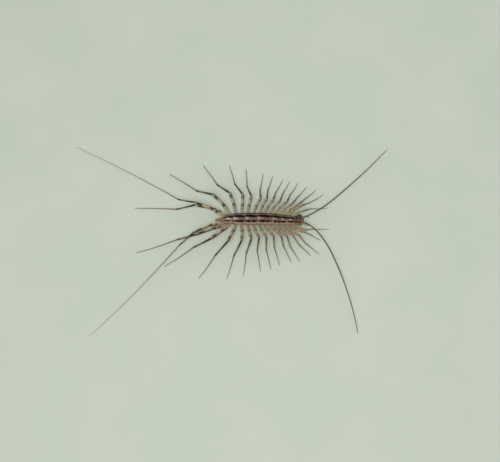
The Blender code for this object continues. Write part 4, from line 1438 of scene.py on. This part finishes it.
def head_points(form):
    """Shapes a round ball into the head: its crown, brows, rims, sockets and grooves."""
    radii = np.array(HEAD_RADII)
    unit = form / np.linalg.norm(form, axis=1)[:, None]
    power = 2.35
    length = (np.abs(unit) ** power).sum(axis=1) ** (1 / power)
    unit = unit / length[:, None]
    points = unit * radii
    x, y, z = points.T
    away = points / np.linalg.norm(points, axis=1)[:, None]
    crown = eased(z, 0.15, 0.5)
    wide = np.abs(y)
    middle_line = bump_at(y, 0.0, 0.09) * crown * eased(-x, -0.45, 0.1)
    collar_line = bump_at(x, -1.03, 0.06)
    brow_line = bump_at(x, 0.62 - 0.30 * wide**2, 0.055) * crown * eased(-wide, -1.15, -0.85)
    cheek_line = bump_at(wide, 1.22 + 0.10 * x, 0.06) * crown * eased(-x, -0.1, 0.3)
    lip_line = bump_at(z, -0.02 + 0.05 * wide, 0.045) * eased(x, 1.15, 1.35)
    suture = 0.5 * middle_line + collar_line + brow_line + 0.6 * cheek_line + lip_line
    relief = -0.020 * middle_line - 0.050 * collar_line - 0.032 * brow_line
    relief = relief - 0.022 * cheek_line - 0.05 * lip_line + 0.05 * bump_at(x, -1.18, 0.07)
    relief = relief + 0.05 * bump_at(wide, 0.95, 0.28) * crown * bump_at(x, 0.2, 0.9)
    relief = relief + 0.05 * bump_at(x, 1.30, 0.30) * bump_at(y, 0.0, 0.42) * bump_at(z, 0.32, 0.28)
    for side in (1, -1):
        eye = (points - (EYE_OFFSET.x, side * EYE_OFFSET.y, EYE_OFFSET.z)) / EYE_RADII
        reach = np.linalg.norm(eye, axis=1)
        relief = relief + 0.07 * bump_at(reach, 1.16, 0.14) - 0.16 * eased(-reach, -1.05, -0.6)
        socket = points - (FEELER_OFFSET.x - 0.12, side * FEELER_OFFSET.y, FEELER_OFFSET.z - 0.05)
        reach = np.linalg.norm(socket, axis=1)
        relief = relief + 0.10 * bump_at(reach, 0.40, 0.10) - 0.10 * eased(-reach, -0.32, -0.1)
    points = points + away * relief[:, None]
    blot = np.full(len(points), 9.0)
    for start, end, width in HEAD_BLOTS:
        start, run = np.array(start), np.array(end) - np.array(start)
        share = np.clip(((points[:, :2] - start) @ run) / (run @ run), 0.0, 1.0)
        away = np.linalg.norm(points[:, :2] - start - share[:, None] * run, axis=1)
        blot = np.minimum(blot, away - width)
    values = {
        "across": points[:, 1], "along": points[:, 0], "rise": points[:, 2], "blot": blot,
        "suture": suture,
    }
    return points, values


def make_head(material, facets, eye_material):
    """The head shell, its lip, its two eyes of many facets and short bristles on its crown."""
    ball = bmesh.new()
    bmesh.ops.create_cube(ball, size=2.0)
    bmesh.ops.subdivide_edges(ball, edges=ball.edges, cuts=55, use_grid_fill=True)
    form = np.array([tuple(vert.co) for vert in ball.verts])
    form = np.tan(form * math.pi / 4)
    points, values = head_points(form)
    points[:, 0] = np.maximum(points[:, 0], HEAD_REAR - HEAD_CENTRE.x)
    placed = in_metres(points + np.array(HEAD_CENTRE))
    for vert, point in zip(ball.verts, placed):
        vert.co = point
    mesh = bpy.data.meshes.new("head_shell")
    bmesh.ops.recalc_face_normals(ball, faces=ball.faces)
    ball.to_mesh(mesh)
    ball.free()
    carry(mesh, values)
    mesh.shade_smooth()
    mesh.materials.append(material)
    head = place_piece("head_shell", mesh)
    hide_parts("head")
    for side_name, side in SIDES.items():
        place = HEAD_CENTRE + Vector((EYE_OFFSET.x, side * EYE_OFFSET.y, EYE_OFFSET.z))
        place = (Vector(place) - Vector(CENTRE)) * MM
        empty = bpy.data.meshes.new("eye_start")
        values = {"Fineness": 4, "Dome": 0.030, "Material": eye_material}
        values.update({"Radii": tuple(Vector(EYE_RADII) * MM), "Place": tuple(place)})
        name = "eye_" + side_name
        eye = place_piece(name, grown(name, empty, facets, values))
        eye.name = "eye_facets_" + side_name
        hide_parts("eye_" + side_name)
    bristles = Bristles(31)
    chance = bristles.chance
    centre = np.array(HEAD_CENTRE)
    count = 0
    while count < 150:
        point = points[chance.integers(0, len(points))]
        eye = (0.25, math.copysign(1.5, point[1]), 0.18)
        near_eye = np.linalg.norm((point - eye) / EYE_RADII)
        if near_eye < 1.25 or point[0] < -0.9:
            continue
        way = point / np.array(HEAD_RADII) ** 2
        way = way / np.linalg.norm(way)
        aim = way * 0.8 + np.array((0.55, 0.0, 0.0))
        cell = (0.5 + 0.1 * point[0], 0.5 + 0.1 * point[1])
        bristles.add(point + centre - way * 0.02, aim, (1.0, 0.0, 0.0), "head", cell)
        count += 1
    bristles.finish("bristles_head", "shell")


def curved_part(shell, points, radii, tones, sides=18, squash=1.0):
    """A smooth tapered limb through a few points; returns its middle line and thickness."""
    path, places = smooth_path(points, 0.05)
    knots = np.array([tuple(point) for point in points])
    steps = np.linalg.norm(np.diff(knots, axis=0), axis=1)
    lengths = np.concatenate(([0.0], np.cumsum(steps)))
    thick = np.interp(places, lengths, radii)
    tone = np.interp(places, lengths, tones)
    ends = np.minimum(places, places[-1] - places)
    thick = thick * np.sqrt(np.clip(ends / (thick.max() * 0.6), 0.02, 1.0))
    rings = ring_points(path, frames(path, 1), thick, sides, squash=squash)
    turns = 2 * math.pi * np.arange(sides)[None, :] / sides
    shell.add(rings, {
        **PLAIN_VALUES,
        "tone": tone[:, None],
        "run": places[:, None],
        "flat": thick[:, None] * np.cos(turns),
        "tall": thick[:, None] * np.sin(turns),
    })
    return path, thick


def add_limb(shell, bristles, side, points, radii, tones, hairs=0, **form):
    """A mouthpart's limb, with some rounds of fine bristles."""
    path, thick = curved_part(shell, points, radii, tones, **form)
    if not hairs:
        return
    picks = np.repeat(np.arange(3, len(path) - 2), hairs)
    cells = spots_at(0.5 + 0.2 * side, 0.1 + 0.4 * picks / len(path))
    hair_limb(bristles, path, thick, side, picks, "mouth", cells)


def make_mouthparts(claw_material, leg_material):
    """Venom claws, palps, lip, jaws and the plate that carries the claws, with their bristles."""
    bristles = Bristles(51)

    def add_limbs(shell, side, rows, middle=HEAD_CENTRE.y, start=Vector()):
        for points, *rest in rows:
            placed = [start + Vector((x, middle + side * y, z)) for x, y, z in points]
            limb, form = rest[:3], rest[3] if len(rest) > 3 else {}
            add_limb(shell, bristles, side, placed, *limb, **form)

    for side_name, side in SIDES.items():
        shell = Shell(LEG_VALUES)
        add_limbs(shell, side, CLAW_LIMBS)
        claw = shell.finish("venom_claw_" + side_name, claw_material, "claw")
        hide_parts("claw_" + side_name)
        socket = HEAD_CENTRE + Vector((1.51, side * 0.98, -0.50))
        out = Vector((0.80, side * 0.55, -0.22)).normalized()
        start = socket + out * GAP
        shell = Shell(LEG_VALUES)
        points = (socket - out * 0.5, start, start + Vector((0.45, side * 0.28, 0.02)))
        add_limb(shell, bristles, side, points, (0.24, 0.24, 0.20), (0.25, 0.3, 0.55), 1)
        add_limbs(shell, side, PALP_LIMBS, 0.0, start)
        palp = shell.finish("mouth_palp_" + side_name, leg_material, "leg")
        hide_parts("palp_" + side_name)
    shell = Shell(LEG_VALUES)
    for side in (1, -1):
        add_limbs(shell, side, JAW_LIMBS)
    add_limbs(shell, 1, LIP)
    shell.finish("mouth_plates", claw_material, "claw")
    bristles.finish("bristles_mouth", "claw")


def make_feelers(ringed, feeler_material):
    """The two long feelers of very many rings, with a thick first joint and fine hairs."""
    bristles = Bristles(41)
    for side_name, side in SIDES.items():
        path, places = smooth_path(feeler_route(side_name), 0.08)
        share = places / places[-1]
        radii = np.interp(
            places, (0.0, 0.5, 1.0, 1.25, 1.9, 2.1, 10.0),
            (0.27, 0.30, 0.31, 0.25, 0.29, 0.23, 0.20),
        )
        radii = np.minimum(radii, 0.20 + 0.12 * eased(-places, -2.4, -1.6))
        lash = np.interp(share, (0.06, 0.2, 0.5, 0.8, 1.0), (0.21, 0.245, 0.22, 0.16, 0.11))
        radii = np.where(places > 2.2, lash, radii)
        radii = radii * (1 - 0.5 * eased(share, 0.99, 1.0))
        article = np.where(places < 2.1, 0.95, 0.19 + 0.14 * share)
        ring_at = np.cumsum(np.gradient(places) / article)
        joints = 1.0 - 0.18 * (bump_at(share, 0.30, 0.004) + bump_at(share, 0.62, 0.004))
        tone = 0.62 - 0.27 * share - 0.35 * eased(-places, -2.0, -0.4)
        values = {"thick": radii * joints * MM, "ring_at": ring_at, "tone": tone}
        line = line_mesh(side_name, path, values)
        given = {"Step": 0.036 * MM, "Groove depth": 0.20, "Sides": 14, "Material": feeler_material}
        name = "feeler_" + side_name
        mesh = grown(name, line, ringed, given)
        face_outwards(mesh)
        feeler = place_piece(name, mesh)
        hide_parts("antenna_" + side_name)
        picks = np.repeat(np.arange(10, len(path) - 2), 2)
        cells = spots_at(0.3 if side > 0 else 0.7, 0.02 + 0.96 * share[picks])
        hair_limb(bristles, path, radii, side, picks, "feeler", cells)
    bristles.finish("hairs_feelers", "feeler")


def light(name, place, size, power, tint=(1.0, 1.0, 1.0)):
    """A soft square lamp aimed at the middle of the floor, in metres."""
    lamp = bpy.data.lights.new(name, "AREA")
    lamp.size = size
    lamp.energy = power
    lamp.color = tint
    obj = bpy.data.objects.new(name, lamp)
    obj.location = place
    obj.rotation_euler = (-Vector(place)).to_track_quat("-Z", "Y").to_euler()
    bpy.context.scene.collection.objects.link(obj)


def make_studio(material):
    """Pale floor, soft light and the camera that looks down at the photo's angle."""
    floor = bpy.data.meshes.new("floor")
    ways = ((-1, -1), (1, -1), (1, 1), (-1, 1))
    corners = [(x * FLOOR_REACH, y * FLOOR_REACH, 0) for x, y in ways]
    floor.from_pydata(corners, [], [(0, 1, 2, 3)])
    floor.materials.append(material)
    ground = bpy.data.objects.new("floor", floor)
    bpy.context.scene.collection.objects.link(ground)
    light("key", (-0.03, -0.15, 0.47), 0.20, 1.14, (1.0, 0.99, 0.965))
    light("fill", (0.28, 0.26, 0.34), 0.45, 0.30, (0.95, 0.98, 1.0))
    light("back", (0.05, 0.42, 0.20), 0.30, 0.16)
    world = bpy.data.worlds.new("soft_room")
    world.use_nodes = True
    sky = world.node_tree.nodes["Background"]
    sky.inputs["Color"].default_value = (0.97, 0.985, 1.0, 1.0)
    sky.inputs["Strength"].default_value = 0.45
    bpy.context.scene.world = world
    bpy.context.scene.view_settings.view_transform = "Standard"
    camera = bpy.data.cameras.new("camera")
    camera.sensor_width = 36.0
    camera.lens = 60.0
    camera.clip_start = 0.01
    camera.clip_end = 10.0
    holder = bpy.data.objects.new("camera", camera)
    away = Vector((0, -math.sin(CAMERA_TILT), math.cos(CAMERA_TILT))) * CAMERA_AWAY
    holder.location = (Vector(CAMERA_TARGET) - Vector(CENTRE)) * MM + away
    holder.rotation_euler = (CAMERA_TILT, 0, 0)
    bpy.context.scene.collection.objects.link(holder)
    bpy.context.scene.camera = holder


def main():
    """Builds every visible piece over the frame, then the studio."""
    leg_skin, Bristles.skin = leg_finish(), bristle_finish()
    claw_skin, plate_skin = claw_finish(), plate_finish()
    ringed, Bristles.tree, facets = ringed_limb_tree(), bristle_tree(), facet_tree()
    make_trunk(trunk_finish(), plate_skin)
    make_tail(plate_skin)
    make_head(head_finish(), facets, eye_finish())
    make_mouthparts(claw_skin, leg_skin)
    make_feelers(ringed, feeler_finish())
    make_legs(ringed, leg_skin)
    make_studio(floor_finish())


main()
